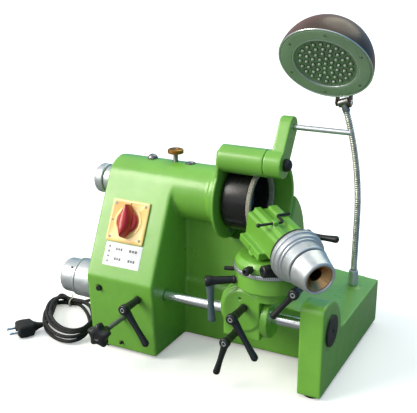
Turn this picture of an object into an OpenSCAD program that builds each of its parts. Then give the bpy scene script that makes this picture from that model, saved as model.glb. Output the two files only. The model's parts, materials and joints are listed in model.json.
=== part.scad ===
// Bench-top universal tool and drill grinder: one casting with an inclined switch column, a chrome guide
// bar, a cup wheel under a guard, a swivelling collet workhead, a support arm and a gooseneck lamp.
// Millimetres. +X runs right along the guide bar, +Y to the rear, +Z up.
// The origin is the centre of the footprint, on the bench plane under the rubber feet.

/* [Casting] */
// Length of the casting along the guide bar
base_l = 400; // [398:1:402]
// Depth of the casting, front to back
base_d = 300; // [298:1:302]
// Length of the switch column along the bar
column_l = 122; // [120:1:124]
// Height of the rubber feet
foot_h = 5; // [4:1:6]
// Wall thickness of the casting
wall = 12; // [11:1:13]
// Height of the bed top above the bench at its right end
bed_top_z = 82; // [80:1:84]
// Thickness of the right-hand bar bracket
bracket_l = 37; // [35:1:38]

/* [Guide bar] */
// Radius of the guide bar
bar_r = 9; // [8.5:0.5:9.5]
// Height of the bar axis above the bench
bar_z = 102; // [101:1:103]
// Distance of the bar axis in front of the origin
bar_front = 115; // [114:1:116]

/* [Wheel spindle] */
// Height of the spindle axis
spindle_z = 261; // [260:1:262]
// Distance of the spindle axis in front of the origin
spindle_front = 47; // [46:1:48]
// Outer radius of the spindle housing
housing_r = 46; // [45:1:47]
// Radius of the sliding quill
quill_r = 27; // [26:0.5:27.5]
// Radius of the cup wheel
wheel_r = 50; // [48:1:51]
// Axial thickness of the cup wheel with its abrasive ring
wheel_w = 50; // [48:1:50]

/* [Workhead] */
// Distance of the swivel axis to the right of the origin
post_x = 102; // [101:1:103]
// Yaw of the collet axis from the guide bar
head_yaw = -40; // [-41:1:-39]
// Downward tilt of the collet nose
head_tilt = 10; // [9:1:11]
// Height of the collet axis above the bench, over the swivel axis
head_z = 243; // [242:1:244]
// Height of the tilt pivot above the bench
tilt_z = 216; // [215.5:0.5:216.5]
// Outer radius of the graduated index dial
dial_r = 39.5; // [38.5:0.5:40.5]
// Bore radius of the collet
collet_r = 9; // [6:0.5:9]

/* [Support arm] */
// Height of the arm pivot axis
arm_z = 332; // [331:1:333]
// Distance of the arm pivot axis in front of the origin
arm_front = 78; // [77:1:79]
// Radius of the chrome support rod
rod_r = 4; // [3.5:0.5:4.5]

/* [Lamp] */
// Radius of the lamp shell at its rim
lamp_r = 75.5; // [74.5:0.5:76.5]
// Depth of the domed lamp shell
lamp_depth = 75; // [72:1:75]
// Radius of the gooseneck tube
neck_r = 5.5; // [5:0.5:6]

/* [Hidden] */

$fn = 48;

green = [0.50, 0.73, 0.28];
black = [0.08, 0.08, 0.09];
silver = [0.80, 0.83, 0.86];
steel = [0.55, 0.57, 0.60];
chrome = [0.88, 0.90, 0.93];

half_l = base_l / 2;
half_d = base_d / 2;
column_x = column_l - half_l;
bracket_x = half_l - bracket_l;
bar_y = -bar_front;
sp_y = -spindle_front;
arm_y = -arm_front;
run = 0.04;
stud_r = 4;
stud_hole_r = 4.06;

// Front face: leans out to a bend line, then slopes back to the spindle housing.
bend_y = -half_d - 10.6;
bend_z = foot_h + 125.6;
slope_vec = [sp_y - bend_y, spindle_z - bend_z];
slope_len = norm(slope_vec);
slope_a = atan2(slope_vec[1], slope_vec[0]) + asin(housing_r / slope_len);
slope_run = sqrt(slope_len * slope_len - housing_r * housing_r);
slope_top = [bend_y + slope_run * cos(slope_a), bend_z + slope_run * sin(slope_a)];

// Rear of the column: a slope down from the housing, then a vertical wall.
rear_y = 76;
rear_z = 175;
rear_vec = [sp_y - rear_y, spindle_z - rear_z];
rear_len = norm(rear_vec);
rear_a = atan2(rear_vec[1], rear_vec[0]) - asin(housing_r / rear_len);
rear_run = sqrt(rear_len * rear_len - housing_r * housing_r);
rear_top = [rear_y + rear_run * cos(rear_a), rear_z + rear_run * sin(rear_a)];

// Belt drive.
motor_y = 14;
motor_z = 122;
spindle_pulley_r = 20;
motor_pulley_r = 37;
belt_x = -148;
belt_w = 16;
belt_t = 3;
belt_gap = 0.3;
cavity_end_x = -116;

// Switch on the sloping face.
switch_x = -143;
switch_z = 217;
switch_y = bend_y + (switch_z - bend_z) / tan(slope_a);

// Support arm: leans back from its pivot to the rod.
rod_dy = 32;
rod_dz = 51;

// Lamp.
neck_x = 168.8;
neck_y = 98;
neck_straight_z = 208;
neck_bend_r = 560;
neck_bend_a = 20;
lamp_pos = [118, 45, 466];
lamp_face_a = 40;

// ---------- shared helpers ----------

// Extrudes a Y-Z outline along X.
module along_x(x0, len) {
  translate([x0, 0, 0]) rotate([90, 0, 90]) linear_extrude(height = len) children();
}

// Extrudes an X-Z outline along Y.
module along_y(y0, len) {
  translate([0, y0 + len, 0]) rotate([90, 0, 0]) linear_extrude(height = len) children();
}

module rod_x(x0, len, r, y, z) {
  translate([x0, y, z]) rotate([0, 90, 0]) cylinder(h = len, r = r);
}

module rod_y(y0, len, r, x, z) {
  translate([x, y0, z]) rotate([-90, 0, 0]) cylinder(h = len, r = r);
}

module rod_z(z0, len, r, x, y) {
  translate([x, y, z0]) cylinder(h = len, r = r);
}

function arc_points(centre, r, a0, a1, steps = 28) =
  [for (i = [0:steps]) centre + r * [cos(a0 + (a1 - a0) * i / steps), sin(a0 + (a1 - a0) * i / steps)]];

// Outline of a belt round the two pulleys: an arc on each, joined by straight spans.
module belt_outline(r1, r2) {
  d = [motor_y - sp_y, motor_z - spindle_z];
  aim = atan2(d[1], d[0]);
  lean = acos((r1 - r2) / norm(d));
  polygon(concat(
    arc_points([sp_y, spindle_z], r1, aim + lean, aim + 360 - lean),
    arc_points([motor_y, motor_z], r2, aim - lean, aim + lean)
  ));
}

// Adjustable clamp lever: threaded stud along -Z, hub along +Z, arm along +X at the top of the hub.
module clamp_lever(hub, arm, stud = 12, lift = 0) {
  root_gap = 1.5;
  boss_r = 8.5;
  translate([0, 0, -stud]) cylinder(h = stud + root_gap + 2, r = stud_r);
  translate([0, 0, root_gap]) cylinder(h = hub - root_gap - boss_r, r1 = 5.5, r2 = 7);
  translate([0, 0, hub - 2 * boss_r]) cylinder(h = 2 * boss_r, r = boss_r);
  translate([0, 0, hub - boss_r]) rotate([0, 90 - lift, 0]) cylinder(h = arm, r1 = 6.5, r2 = 5.5);
  translate([0, 0, hub - boss_r]) rotate([0, 90 - lift, 0]) translate([0, 0, arm]) sphere(r = 6.8);
}

// Places a lever whose hub points to the front, turned by yaw about Z and with its arm at aim.
module lever_at(root, yaw, aim) {
  translate(root) rotate([0, 0, yaw]) rotate([90, 0, 0]) rotate([0, 0, aim]) children();
}

// Frame of the swivel: local X is under the collet axis, local Y is its lateral direction.
module swivel_frame() {
  translate([post_x, bar_y, 0]) rotate([0, 0, head_yaw]) children();
}

// Frame of the tilted workhead, with its origin on the collet axis over the swivel axis.
module head_frame() {
  swivel_frame() translate([0, 0, tilt_z]) rotate([0, head_tilt, 0])
    translate([0, 0, head_z - tilt_z]) children();
}

// Solid of revolution about the collet axis; the outline is [distance along axis, radius].
module turned(outline) {
  rotate([0, 90, 0]) rotate_extrude() polygon([for (p = outline) [p[1], p[0]]]);
}

module lamp_frame() {
  translate(lamp_pos) rotate([lamp_face_a, 0, 0]) rotate([-90, 0, 0]) children();
}

// ---------- casting and covers ----------

module column_outline() {
  polygon([
    [-half_d, foot_h], [bend_y, bend_z], slope_top, [sp_y, spindle_z], rear_top,
    [rear_y, rear_z], [rear_y, foot_h]
  ]);
  translate([sp_y, spindle_z]) circle(r = housing_r);
}

module column_cavity_outline() {
  in_y = wall * sin(slope_a);
  in_z = wall * cos(slope_a);
  polygon([
    [wall - half_d, 0], [bend_y + wall, bend_z - in_z], [slope_top[0] + in_y, slope_top[1] - in_z],
    [sp_y, spindle_z], [rear_top[0] - wall, rear_top[1] - wall], [rear_y - wall, rear_z - wall / 2],
    [rear_y - wall, 0]
  ]);
  translate([sp_y, spindle_z]) circle(r = housing_r - wall);
}

// Rear motor hood: a flat front wall and a top that rounds over to the rear.
hood_end_x = 87;
hood_y = -45;
hood_arc_y = -33;
hood_arc_z = 166;
hood_arc_r = 105;

module hood_outline() {
  translate([hood_y, foot_h + 40]) square([rear_y - 4 - hood_y, hood_arc_z - foot_h - 40]);
  intersection() {
    translate([hood_arc_y, hood_arc_z]) circle(r = hood_arc_r);
    translate([hood_y, hood_arc_z - 10]) square([rear_y - 4 - hood_y, hood_arc_r + 20]);
  }
}

module bracket_outline() {
  top_z = 149;
  arc_r = 64;
  arc_y = -127;
  arc_z = top_z - arc_r;
  polygon([
    [-half_d, foot_h], [-half_d, top_z - 9], [-half_d + 3, top_z - 3], [-half_d + 9, top_z],
    [arc_y, top_z], [arc_y, arc_z], [-50, arc_z], [-50, foot_h]
  ]);
  intersection() {
    translate([arc_y, arc_z]) circle(r = arc_r);
    translate([arc_y, arc_z]) square(arc_r);
  }
}

module bed_outline() {
  left_z = bed_top_z + 0.09 * base_l;
  polygon([[-half_l, foot_h], [half_l, foot_h], [half_l, bed_top_z], [-half_l, left_z]]);
}

module foot_places() {
  for (sx = [-1, 1], sy = [-1, 1]) translate([sx * (half_l - 18), sy * (half_d - 18), 0]) children();
}

module base_casting() {
  ring_x = -15;
  bed_front_y = -50;
  wheel_room_r = 70;
  color(green) union() {
    difference() {
      union() {
        along_x(-half_l, column_l) column_outline();
        along_y(bed_front_y, half_d - bed_front_y) bed_outline();
        along_x(bracket_x, bracket_l) bracket_outline();
        difference() {
          along_x(column_x - 1, hood_end_x - column_x + 1) hood_outline();
          rod_x(0, 120, wheel_room_r, sp_y, spindle_z);
        }
        rod_x(column_x - 1, -column_x + 1, housing_r, sp_y, spindle_z);
        rod_x(ring_x, -ring_x, housing_r + 3.5, sp_y, spindle_z);
      }
      // Open underside, motor chamber and belt cavity.
      translate([wall - half_l, bed_front_y + wall, 0])
        cube([base_l - 2 * wall, half_d - bed_front_y - 2 * wall, bed_top_z - 10]);
      translate([-104, -33, 40]) cube([179, 93, 147]);
      along_x(wall - half_l, cavity_end_x - wall + half_l) column_cavity_outline();
      // Bores for the bar, the quill, the motor shaft and the two feed screws.
      rod_x(-half_l - 1, base_l + 2, bar_r + run, bar_y, bar_z);
      rod_x(cavity_end_x - 1, 120, quill_r + run, sp_y, spindle_z);
      rod_x(cavity_end_x - 1, 20, 12, motor_y, motor_z);
      rod_x(-half_l - 1, wall + 2, 6, sp_y, spindle_z);
      // Rear service opening, switch opening and cable hole.
      translate([-182, rear_y - wall - 1, 130]) cube([60, wall + 2, 31]);
      screw_places() rod_y(rear_y - 2, 4, 2.55, 0, 0);
      translate([switch_x, switch_y, switch_z]) rotate([slope_a, 0, 0])
        translate([-23, -23, -wall - 4]) cube([46, 46, wall + 5]);
      rod_x(-half_l - 1, wall + 2, 5, -60, 45);
      // Clamp screw holes.
      rod_y(bend_y, 45, stud_hole_r, -104, 105.5);
      rod_y(bend_y, 45, stud_hole_r, -136, 65);
      rod_z(spindle_z + quill_r - 1, 30, stud_hole_r, -96, sp_y);
      rod_y(bend_y, 14, 4.5, -177.6, 111);
      rod_y(bend_y, 20, 2.5, -143, 17);
      rod_z(spindle_z + housing_r - 6, 10, 4, -139, sp_y);
      rod_z(spindle_z + housing_r - 3, 10, 8, -69, sp_y);
      // Parting line round the spindle housing.
      rotate([0, 90, 0]) translate([-spindle_z, sp_y, -32]) difference() {
        cylinder(h = 1.2, r = housing_r + 5);
        cylinder(h = 1.2, r = housing_r - 1);
      }
    }
    foot_places() translate([0, 0, foot_h]) cylinder(h = 14, r = 15);
    rod_z(bed_top_z - 12, 17, 11.5, neck_x, neck_y);
  }
}

module rear_cover() {
  color(green) difference() {
    translate([-192, rear_y, 119]) cube([80, 3, 53]);
    screw_places() rod_y(rear_y - 1, 6, 2.6, 0, 0);
  }
}

module screw_places() {
  for (x = [-187, -117], z = [124, 167]) translate([x, 0, z]) children();
}

// Screws of one size: three hold the guard to the housing ring, the rest hold the rear cover.
module cover_screws() {
  color(steel) {
    screw_places() rod_y(rear_y - 1, 4.2, 2.5, 0, 0);
    screw_places() rod_y(rear_y + 3, 2.5, 3.5, 0, 0);
    for (a = [-60, 175, 245]) translate([0, sp_y, spindle_z]) rotate([a, 0, 0])
      rod_x(5, 2.5, 3.5, 0, 54.5);
  }
}

module rubber_feet() {
  color(black) foot_places() difference() {
    cylinder(h = foot_h, r1 = 13, r2 = 14);
    translate([0, 0, -1]) cylinder(h = foot_h - 1, r = 5);
  }
}

// Guard: a back plate, a rounded cover over the top and rear of the wheel, and the arm boss.
module wheel_guard() {
  inner_r = 60;
  outer_r = 67;
  guard_l = 85;
  color(green) difference() {
    union() {
      rod_x(0, 5, outer_r, sp_y, spindle_z);
      along_x(0, 5) polygon([[-92, 225], [-45, 192], [-45, 250], [-100, 250]]);
      difference() {
        rod_x(0, guard_l, outer_r, sp_y, spindle_z);
        rod_x(5, guard_l, inner_r, sp_y, spindle_z);
        along_x(5, guard_l) polygon([
          [sp_y - 20, spindle_z + 5], [sp_y - 50, spindle_z + 90], [sp_y - 200, spindle_z + 90],
          [sp_y - 200, spindle_z - 100], [sp_y + 58, spindle_z - 100], [sp_y + 58, spindle_z - 44],
          [sp_y + 5, spindle_z]
        ]);
      }
      rod_x(3, 74, 21, arm_y, arm_z);
      along_x(0, 77) polygon([[-86, 316], [-70, 314], [-50, 326], [-62, 345]]);
      along_x(0, 5) polygon([[-100, 300], [-60, 300], [-62, 350], [-93, 345]]);
    }
    rod_x(-1, 90, 8 + run, arm_y, arm_z);
    rod_x(77.2, 30, 21.3, arm_y, arm_z);
    rod_x(-1, 7, quill_r + 1.5, sp_y, spindle_z);
    rod_x(-1, 7, 2.5, -78, 234);
    rod_x(5, guard_l, wheel_r + 4, sp_y, spindle_z);
  }
}

module bar_end_cap() {
  color(black) difference() {
    rod_x(half_l, 3.5, 24, bar_y, bar_z);
    rod_x(half_l + 2, 4, 3, bar_y, bar_z);
  }
}

// Dome-headed plug, recessed oil plug and a small grub screw on top of the spindle housing.
module housing_plugs() {
  top = spindle_z + housing_r;
  color(steel) {
    rod_z(top - 6, 6, 3.9, -139, sp_y);
    intersection() {
      translate([-139, sp_y, top - 4]) sphere(r = 11.5);
      rod_z(top, 12, 8.5, -139, sp_y);
    }
    rod_z(top - 3, 4.2, 7.8, -69, sp_y);
  }
}

module socket_plugs() {
  color(black) {
    rod_y(-162.5, 15, 4.4, -177.6, 111);
    rod_y(-155, 10, 2.4, -143, 17);
  }
}

// ---------- switch ----------

module switch_frame() {
  translate([switch_x, switch_y, switch_z]) rotate([slope_a, 0, 0]) children();
}

module switch_plate() {
  plate = 69;
  color([0.95, 0.80, 0.30]) switch_frame() difference() {
    translate([-plate / 2, -plate / 2, 0.05]) cube([plate, plate, 3.5]);
    translate([0, 0, -1]) cylinder(h = 6, r = 6);
  }
}

module switch_body() {
  color(black) switch_frame() difference() {
    translate([-22, -22, -48]) cube([44, 44, 48]);
    translate([0, 0, -20]) cylinder(h = 21, r = stud_hole_r);
  }
}

module switch_knob() {
  color([0.82, 0.12, 0.12]) switch_frame() {
    translate([0, 0, -18]) cylinder(h = 24, r = stud_r);
    translate([0, 0, 4]) cylinder(h = 4, r = 19);
    translate([0, 0, 8]) linear_extrude(height = 14) intersection() {
      translate([-26, 0]) circle(r = 38);
      translate([26, 0]) circle(r = 38);
    }
  }
}

// ---------- bar feed, bar clamp and spindle feed ----------

module guide_bar() {
  left_x = -194;
  color(chrome) difference() {
    rod_x(left_x, 2 * 194, bar_r, bar_y, bar_z);
    rod_x(left_x - 1, 57, 5 + run, bar_y, bar_z);
  }
}

module feed_sleeve() {
  color(silver) difference() {
    rod_x(-half_l - 38, 38, 33, bar_y, bar_z);
    rod_x(-half_l - 39, 40, 5.1, bar_y, bar_z);
  }
}

module feed_dial() {
  color(silver) difference() {
    union() {
      rod_x(-half_l - 43, 4.7, 33, bar_y, bar_z);
      rod_x(-half_l - 69, 26, 27, bar_y, bar_z);
      translate([-half_l - 71, bar_y, bar_z]) rotate([0, 90, 0]) cylinder(h = 2, r1 = 25, r2 = 27);
      rod_x(-half_l - 39, 87, 5, bar_y, bar_z);
    }
    translate([-half_l - 50, bar_y, bar_z]) rotate([40, 0, 0]) translate([0, 0, -30]) cylinder(h = 10, r = 2);
  }
}

module spindle_feed_collar() {
  color(silver) difference() {
    rod_x(-half_l - 26, 26, 22, sp_y, spindle_z);
    rod_x(-half_l - 27, 28, 5.1, sp_y, spindle_z);
  }
}

module spindle_feed_knob() {
  color(silver) {
    rod_x(-half_l - 42, 15.6, 25, sp_y, spindle_z);
    rod_x(-half_l - 44, 2, 23, sp_y, spindle_z);
    rod_x(-half_l - 27, 66, 5, sp_y, spindle_z);
  }
}

module quill_lock_screw() {
  top = spindle_z + housing_r;
  color([0.72, 0.55, 0.25]) {
    rod_z(spindle_z + quill_r + 0.3, 36, stud_r, -96, sp_y);
    difference() {
      rod_z(top + 13, 8, 13, -96, sp_y);
      rod_z(top + 19, 4, 4, -96, sp_y);
    }
  }
}

module bar_clamp_lever() {
  color(black) lever_at([-104, -158.5, 105.5], 0, -55) clamp_lever(47, 62, stud = 20);
}

module star_knob() {
  color(black) {
    rod_y(-212, 78, stud_r, -136, 65);
    rod_y(-215, 14, 7, -136, 65);
    along_y(-232, 18) translate([-136, 65]) {
      circle(r = 14.5);
      for (i = [0:4]) rotate(72 * i + 18) translate([13, 0]) circle(r = 7);
    }
  }
}

// ---------- motor, belt and wheel spindle ----------

module motor_housing() {
  color(steel) difference() {
    union() {
      rod_x(-103.8, 150, 42, motor_y, motor_z);
      for (i = [0:11]) translate([-80, motor_y, motor_z]) rotate([30 * i, 0, 0])
        translate([0, -1, 40]) cube([100, 2, 5]);
    }
    rod_x(-88, 122, 33.5, motor_y, motor_z);
    rod_x(-110, 30, 8 + run, motor_y, motor_z);
    rod_x(30, 10, 8 + run, motor_y, motor_z);
  }
}

module motor_shaft() {
  color(steel) {
    rod_x(-158, 195, 8, motor_y, motor_z);
    rod_x(-76, 96, 33, motor_y, motor_z);
  }
}

module motor_pulley() {
  color(silver) difference() {
    rod_x(belt_x - 5, belt_w + 10, motor_pulley_r, motor_y, motor_z);
    rod_x(belt_x - 6, belt_w + 12, 8, motor_y, motor_z);
  }
}

module drive_belt() {
  in1 = spindle_pulley_r + belt_gap;
  in2 = motor_pulley_r + belt_gap;
  color(black) along_x(belt_x, belt_w) difference() {
    belt_outline(in1 + belt_t, in2 + belt_t);
    belt_outline(in1, in2);
  }
}

module quill_sleeve() {
  color(steel) difference() {
    rod_x(-120, 115, quill_r, sp_y, spindle_z);
    rod_x(-121, 117, 17.5, sp_y, spindle_z);
  }
}

bearing_xs = [-112, -22];

module bearing_outer_rings() {
  color(steel) for (x = bearing_xs) difference() {
    rod_x(x, 10, 17.5, sp_y, spindle_z);
    rod_x(x - 1, 12, 14.7, sp_y, spindle_z);
  }
}

// Inner rings with a row of balls in each.
module bearing_inner_sets() {
  color(chrome) for (x = bearing_xs) {
    difference() {
      rod_x(x, 10, 11.4, sp_y, spindle_z);
      rod_x(x - 1, 12, 8.5, sp_y, spindle_z);
    }
    for (i = [0:7]) translate([x + 5, sp_y, spindle_z]) rotate([45 * i, 0, 0])
      translate([0, 0, 13.05]) sphere(r = 1.6);
  }
}

module spindle_shaft() {
  color(steel) {
    rod_x(-154, 190, 8.5, sp_y, spindle_z);
  }
}

module spindle_pulley() {
  color(silver) difference() {
    rod_x(belt_x - 5, belt_w + 10, spindle_pulley_r, sp_y, spindle_z);
    rod_x(belt_x - 6, belt_w + 12, 8.5, sp_y, spindle_z);
  }
}

wheel_x = 8;
nut_x = 23;

module wheel_hub() {
  color(steel) difference() {
    union() {
      rod_x(-3, wheel_x + 3, 22, sp_y, spindle_z);
      rod_x(wheel_x - 1, nut_x - wheel_x + 1, 12, sp_y, spindle_z);
    }
    rod_x(-4, 30, 8.5, sp_y, spindle_z);
  }
}

module grinding_wheel() {
  cup_w = wheel_w - 7;
  color(black) translate([wheel_x, sp_y, spindle_z]) turned([
    [0, 12], [0, wheel_r - 3], [3, wheel_r], [cup_w, wheel_r], [cup_w, wheel_r - 7],
    [18, wheel_r - 9], [15, wheel_r - 14], [15, 12]
  ]);
}

module abrasive_ring() {
  color([0.75, 0.76, 0.72]) translate([wheel_x, sp_y, spindle_z]) turned([
    [wheel_w - 7, wheel_r - 7], [wheel_w - 7, wheel_r], [wheel_w, wheel_r], [wheel_w, wheel_r - 6.5]
  ]);
}

module arbor_nut() {
  color(black) difference() {
    union() {
      rod_x(nut_x, 2, 15, sp_y, spindle_z);
      translate([nut_x + 2, sp_y, spindle_z]) rotate([0, 90, 0]) cylinder(h = 10, r = 13, $fn = 6);
    }
    rod_x(nut_x - 1, 14, 8.5, sp_y, spindle_z);
  }
}

// ---------- carriage ----------

carriage_x0 = 38;
carriage_x1 = 98;
front_y = -145;
boss_x = 69;
post_r = 53;
ring_z = 184;
ring_t = 6;

module carriage_collar() {
  color(green) difference() {
    rod_x(carriage_x1 + 0.4, 11.6, 31, bar_y, bar_z);
    rod_x(carriage_x1, 13, bar_r + run, bar_y, bar_z);
    translate([carriage_x1 + 6, bar_y, bar_z - 33]) cylinder(h = 12, r = 3);
  }
}

ear_y = -128;
ear_z = 173;
post_foot_z = 158;
swivel_lever_a = -145;
index_pin_a = -166;

module carriage_block() {
  color(green) difference() {
    union() {
      // Saddle on the bar, round front boss and a wider arch behind it.
      translate([carriage_x0, -142, 72]) cube([carriage_x1 - carriage_x0, 54, 40]);
      rod_y(front_y + 4, 50, 37, boss_x, 117);
      translate([boss_x, front_y, 117]) rotate([-90, 0, 0]) cylinder(h = 4, r1 = 31, r2 = 37);
      rod_y(-138, 50, 41, boss_x + 3, 121);
      // Neck and round post that carry the graduated ring.
      rod_z(118, 42, 30, post_x, bar_y);
      rod_z(post_foot_z, ring_z - post_foot_z, post_r - 2, post_x, bar_y);
      translate([post_x + 30, ear_y, ear_z - 9]) cube([37, 24, 16]);
    }
    // Clearance for the collar beside the saddle.
    translate([carriage_x1, -170, 40]) cube([60, 120, 96]);
    rod_x(carriage_x0 - 20, 100, bar_r + run, bar_y, bar_z);
    rod_z(150, 60, 20, post_x, bar_y);
    rod_y(front_y - 1, 16, stud_hole_r, 74, 125);
    rod_y(front_y - 1, 16, stud_hole_r, 62, 82);
    rod_y(front_y - 1, 8, 2, 66, 137);
    translate([post_x, bar_y, 167]) rotate([0, 0, swivel_lever_a]) rod_x(33, 30, stud_hole_r, 0, 0);
    translate([post_x, bar_y, 176]) rotate([0, 0, index_pin_a]) rod_x(19, 50, 2.56, 0, 0);
    rod_y(ear_y - 1, 15, stud_hole_r, post_x + 58, ear_z);
    rod_y(ear_y - 40, 40, 9, post_x + 58, ear_z);
  }
}

module carriage_lever_upper() {
  color(black) lever_at([74, front_y, 125], 0, -57) clamp_lever(50, 66);
}

module carriage_lever_lower() {
  color(black) lever_at([62, front_y, 82], 0, -106) clamp_lever(46, 54);
}

module swivel_clamp_lever() {
  reach = post_r - 2;
  color([0.27, 0.35, 0.37]) lever_at(
    [post_x + reach * cos(swivel_lever_a), bar_y + reach * sin(swivel_lever_a), 167],
    swivel_lever_a + 90, -90
  ) clamp_lever(48, 62);
}

module post_clamp_lever() {
  color(black) lever_at([post_x + 58, ear_y, ear_z], 0, -127) clamp_lever(46, 50);
}

module swivel_index_pin() {
  color(black) translate([post_x, bar_y, 176]) rotate([0, 0, index_pin_a]) {
    rod_x(21, post_r - 17, 2.5, 0, 0);
    rod_x(post_r + 3, 14, 3.2, 0, 0);
  }
}

module graduated_ring() {
  color(silver) translate([post_x, bar_y, ring_z]) difference() {
    cylinder(h = ring_t, r = post_r + 2);
    translate([0, 0, -1]) cylinder(h = ring_t + 2, r = 20);
  }
}

// ---------- swivel base and workhead ----------

flange_z = ring_z + ring_t + 0.3;
flange_top = 205;
tongue_w = 24;
quadrant_t = 54;
knob_a = -100;
tilt_knob_r = 9;
tilt_knob_t = 46;
tilt_knob_z = 199.5;

module swivel_base() {
  color(green) difference() {
    union() {
      translate([post_x, bar_y, flange_z]) cylinder(h = 8, r = post_r);
      translate([post_x, bar_y, flange_z + 8])
        cylinder(h = flange_top - flange_z - 8, r1 = post_r, r2 = post_r - 6);
      translate([post_x, bar_y, 155]) cylinder(h = flange_z - 154, r = 19.7);
      // Tongue that carries the tilt pin, and the arm that carries the tilt clamp.
      swivel_frame() {
        translate([-10, -tongue_w / 2, flange_top - 2]) cube([20, tongue_w, tilt_z - flange_top + 2]);
        rod_y(-tongue_w / 2, tongue_w, 10, 0, tilt_z);
        rod_y(-33, 66, 5, 0, tilt_z);
        translate([20, -12, flange_z]) cube([quadrant_t - 20, 24, 13]);
        translate([36, -12, flange_z]) cube([quadrant_t - 36, 24, 16]);
      }
    }
    swivel_frame() {
      rod_y(-13, 14, stud_hole_r, tilt_knob_t, tilt_knob_z);
      rod_y(-60, 47, tilt_knob_r + 0.7, tilt_knob_t, tilt_knob_z);
    }
    translate([post_x, bar_y, 197.5]) rotate([0, 0, knob_a]) rod_x(34, 25, 3.06, 0, 0);
  }
}

module swivel_lock_knob() {
  color(black) translate([post_x, bar_y, 197.5]) rotate([0, 0, knob_a]) {
    rod_x(36, 20, 3, 0, 0);
    rod_x(post_r + 1, 14, 6, 0, 0);
  }
}

module tilt_clamp_knob() {
  color(black) swivel_frame() {
    rod_y(-30, 29, stud_r, tilt_knob_t, tilt_knob_z);
    rod_y(-38, 24, tilt_knob_r, tilt_knob_t, tilt_knob_z);
  }
}

latch_t = 19;
latch_z = 24;

module head_profile() {
  polygon([
    [-25, -20], [25, -20], [25, 17], [22.5, 21.5], [10, 21.5], [8, 17.5], [-2, 17.5], [-4, 21.5],
    [-14, 21.5], [-16.5, 16], [-22, 16], [-25, 13]
  ]);
}

module head_body() {
  back_t = -38;
  front_t = 62;
  lateral = 25;
  color(green) head_frame() difference() {
    union() {
      along_x(back_t, front_t - back_t) head_profile();
      translate([back_t, -34, -31]) cube([64, 68, 12]);
      rod_y(-34, 68, 9, 0, tilt_z - head_z);
      // Lug for the latch.
      translate([14, -14, 19]) cube([10, 8, 9]);
    }
    translate([0, 0, tilt_z - head_z]) {
      translate([-14, -tongue_w / 2 - 0.4, -12]) cube([28, tongue_w + 0.8, 23]);
      rod_y(-40, 80, 5 + run, 0, 0);
    }
    rod_x(back_t - 1, front_t - back_t + 2, 13, 0, 0);
    rod_y(lateral - 14, 20, stud_hole_r, 20, -3);
    rod_y(-16, 12, 2.06, latch_t, latch_z);
  }
}

// Crank-shaped wire latch that lies across the top of the head.
module index_latch() {
  r = 2;
  z = latch_z;
  back = latch_t - 21;
  color([0.15, 0.22, 0.2]) head_frame() {
    rod_y(-36, 40, r, latch_t, z);
    translate([latch_t, -36, z]) sphere(r = 3.2);
    translate([latch_t, 4, z]) sphere(r = r);
    translate([latch_t, 4, z]) rotate([0, -90, 0]) cylinder(h = 21, r = r);
    translate([back, 4, z]) sphere(r = r);
    rod_y(4, 20, r, back, z);
    translate([back, 24, z]) sphere(r = 2.4);
  }
}

module head_lock_lever() {
  color(black) head_frame() translate([20, 25, -3]) rotate([-90, 0, 0]) rotate(-12) clamp_lever(27, 45, lift = 40);
}

module index_plate() {
  color(black) head_frame() difference() {
    rod_x(63.5, 3.5, 37, 0, 0);
    rod_x(62, 6, 13, 0, 0);
    for (i = [0:23]) rotate([15 * i, 0, 0]) rod_x(62, 6, 2, 0, 34);
  }
}

module graduated_dial() {
  color(silver) head_frame() turned([
    [69, 13], [69, dial_r - 1], [70, dial_r], [77, dial_r], [78, dial_r - 1.5], [85, dial_r - 1.5],
    [86, 34.5], [88, 34.5], [89, 31.5], [105, 31.5], [106, 30.5], [106, 13]
  ]);
}

module collet_spindle() {
  color(steel) head_frame() turned([
    [-41, 9.5], [-41, 13 - run], [104, 13 - run], [104, 9.5]
  ]);
}

module collet_nose() {
  color(silver) head_frame() turned([
    [106, 14], [106, 28], [108, 28], [108, 30], [135.5, 24.3], [137, 23], [137, 20], [122, 14]
  ]);
}

module collet() {
  color([0.75, 0.50, 0.25]) head_frame() turned([
    [104.1, collet_r], [104.1, 12.5], [106.1, 12.5], [106.1, 13.96], [122, 13.96], [135, 19.14],
    [135, 17.5], [125, collet_r]
  ]);
}

// ---------- support arm ----------

module arm_outline() {
  lean = atan2(rod_dz, rod_dy);
  translate([arm_y, arm_z]) {
    circle(r = 21);
    rotate(lean) translate([0, -16]) square([norm([rod_dy, rod_dz]), 32]);
    translate([rod_dy, rod_dz]) circle(r = 16);
  }
}

module dresser_arm() {
  color(green) difference() {
    union() {
      along_x(86, 19) arm_outline();
      rod_x(77.5, 27.5, 21, arm_y, arm_z);
    }
    rod_x(70, 40, 8 + run, arm_y, arm_z);
    rod_x(80, 30, rod_r + run, arm_y + rod_dy, arm_z + rod_dz);
  }
}

// Long pivot stud with a domed black head.
module arm_screw() {
  color(black) translate([0, arm_y, arm_z]) turned([
    [8, 0], [8, 8], [105.4, 8], [105.4, 9.5], [110, 9.5], [113, 8], [115, 5], [115.8, 2], [116, 0]
  ]);
}

module support_rod() {
  color(chrome) {
    rod_x(84, 22, rod_r - 0.6, arm_y + rod_dy, arm_z + rod_dz);
    rod_x(105.2, 86.8, rod_r, arm_y + rod_dy, arm_z + rod_dz);
  }
}

// ---------- lamp ----------

neck_foot_z = bed_top_z + 5.2;
neck_end = [
  neck_x - neck_bend_r * (1 - cos(neck_bend_a)), neck_y, neck_straight_z + neck_bend_r * sin(neck_bend_a)
];

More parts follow.
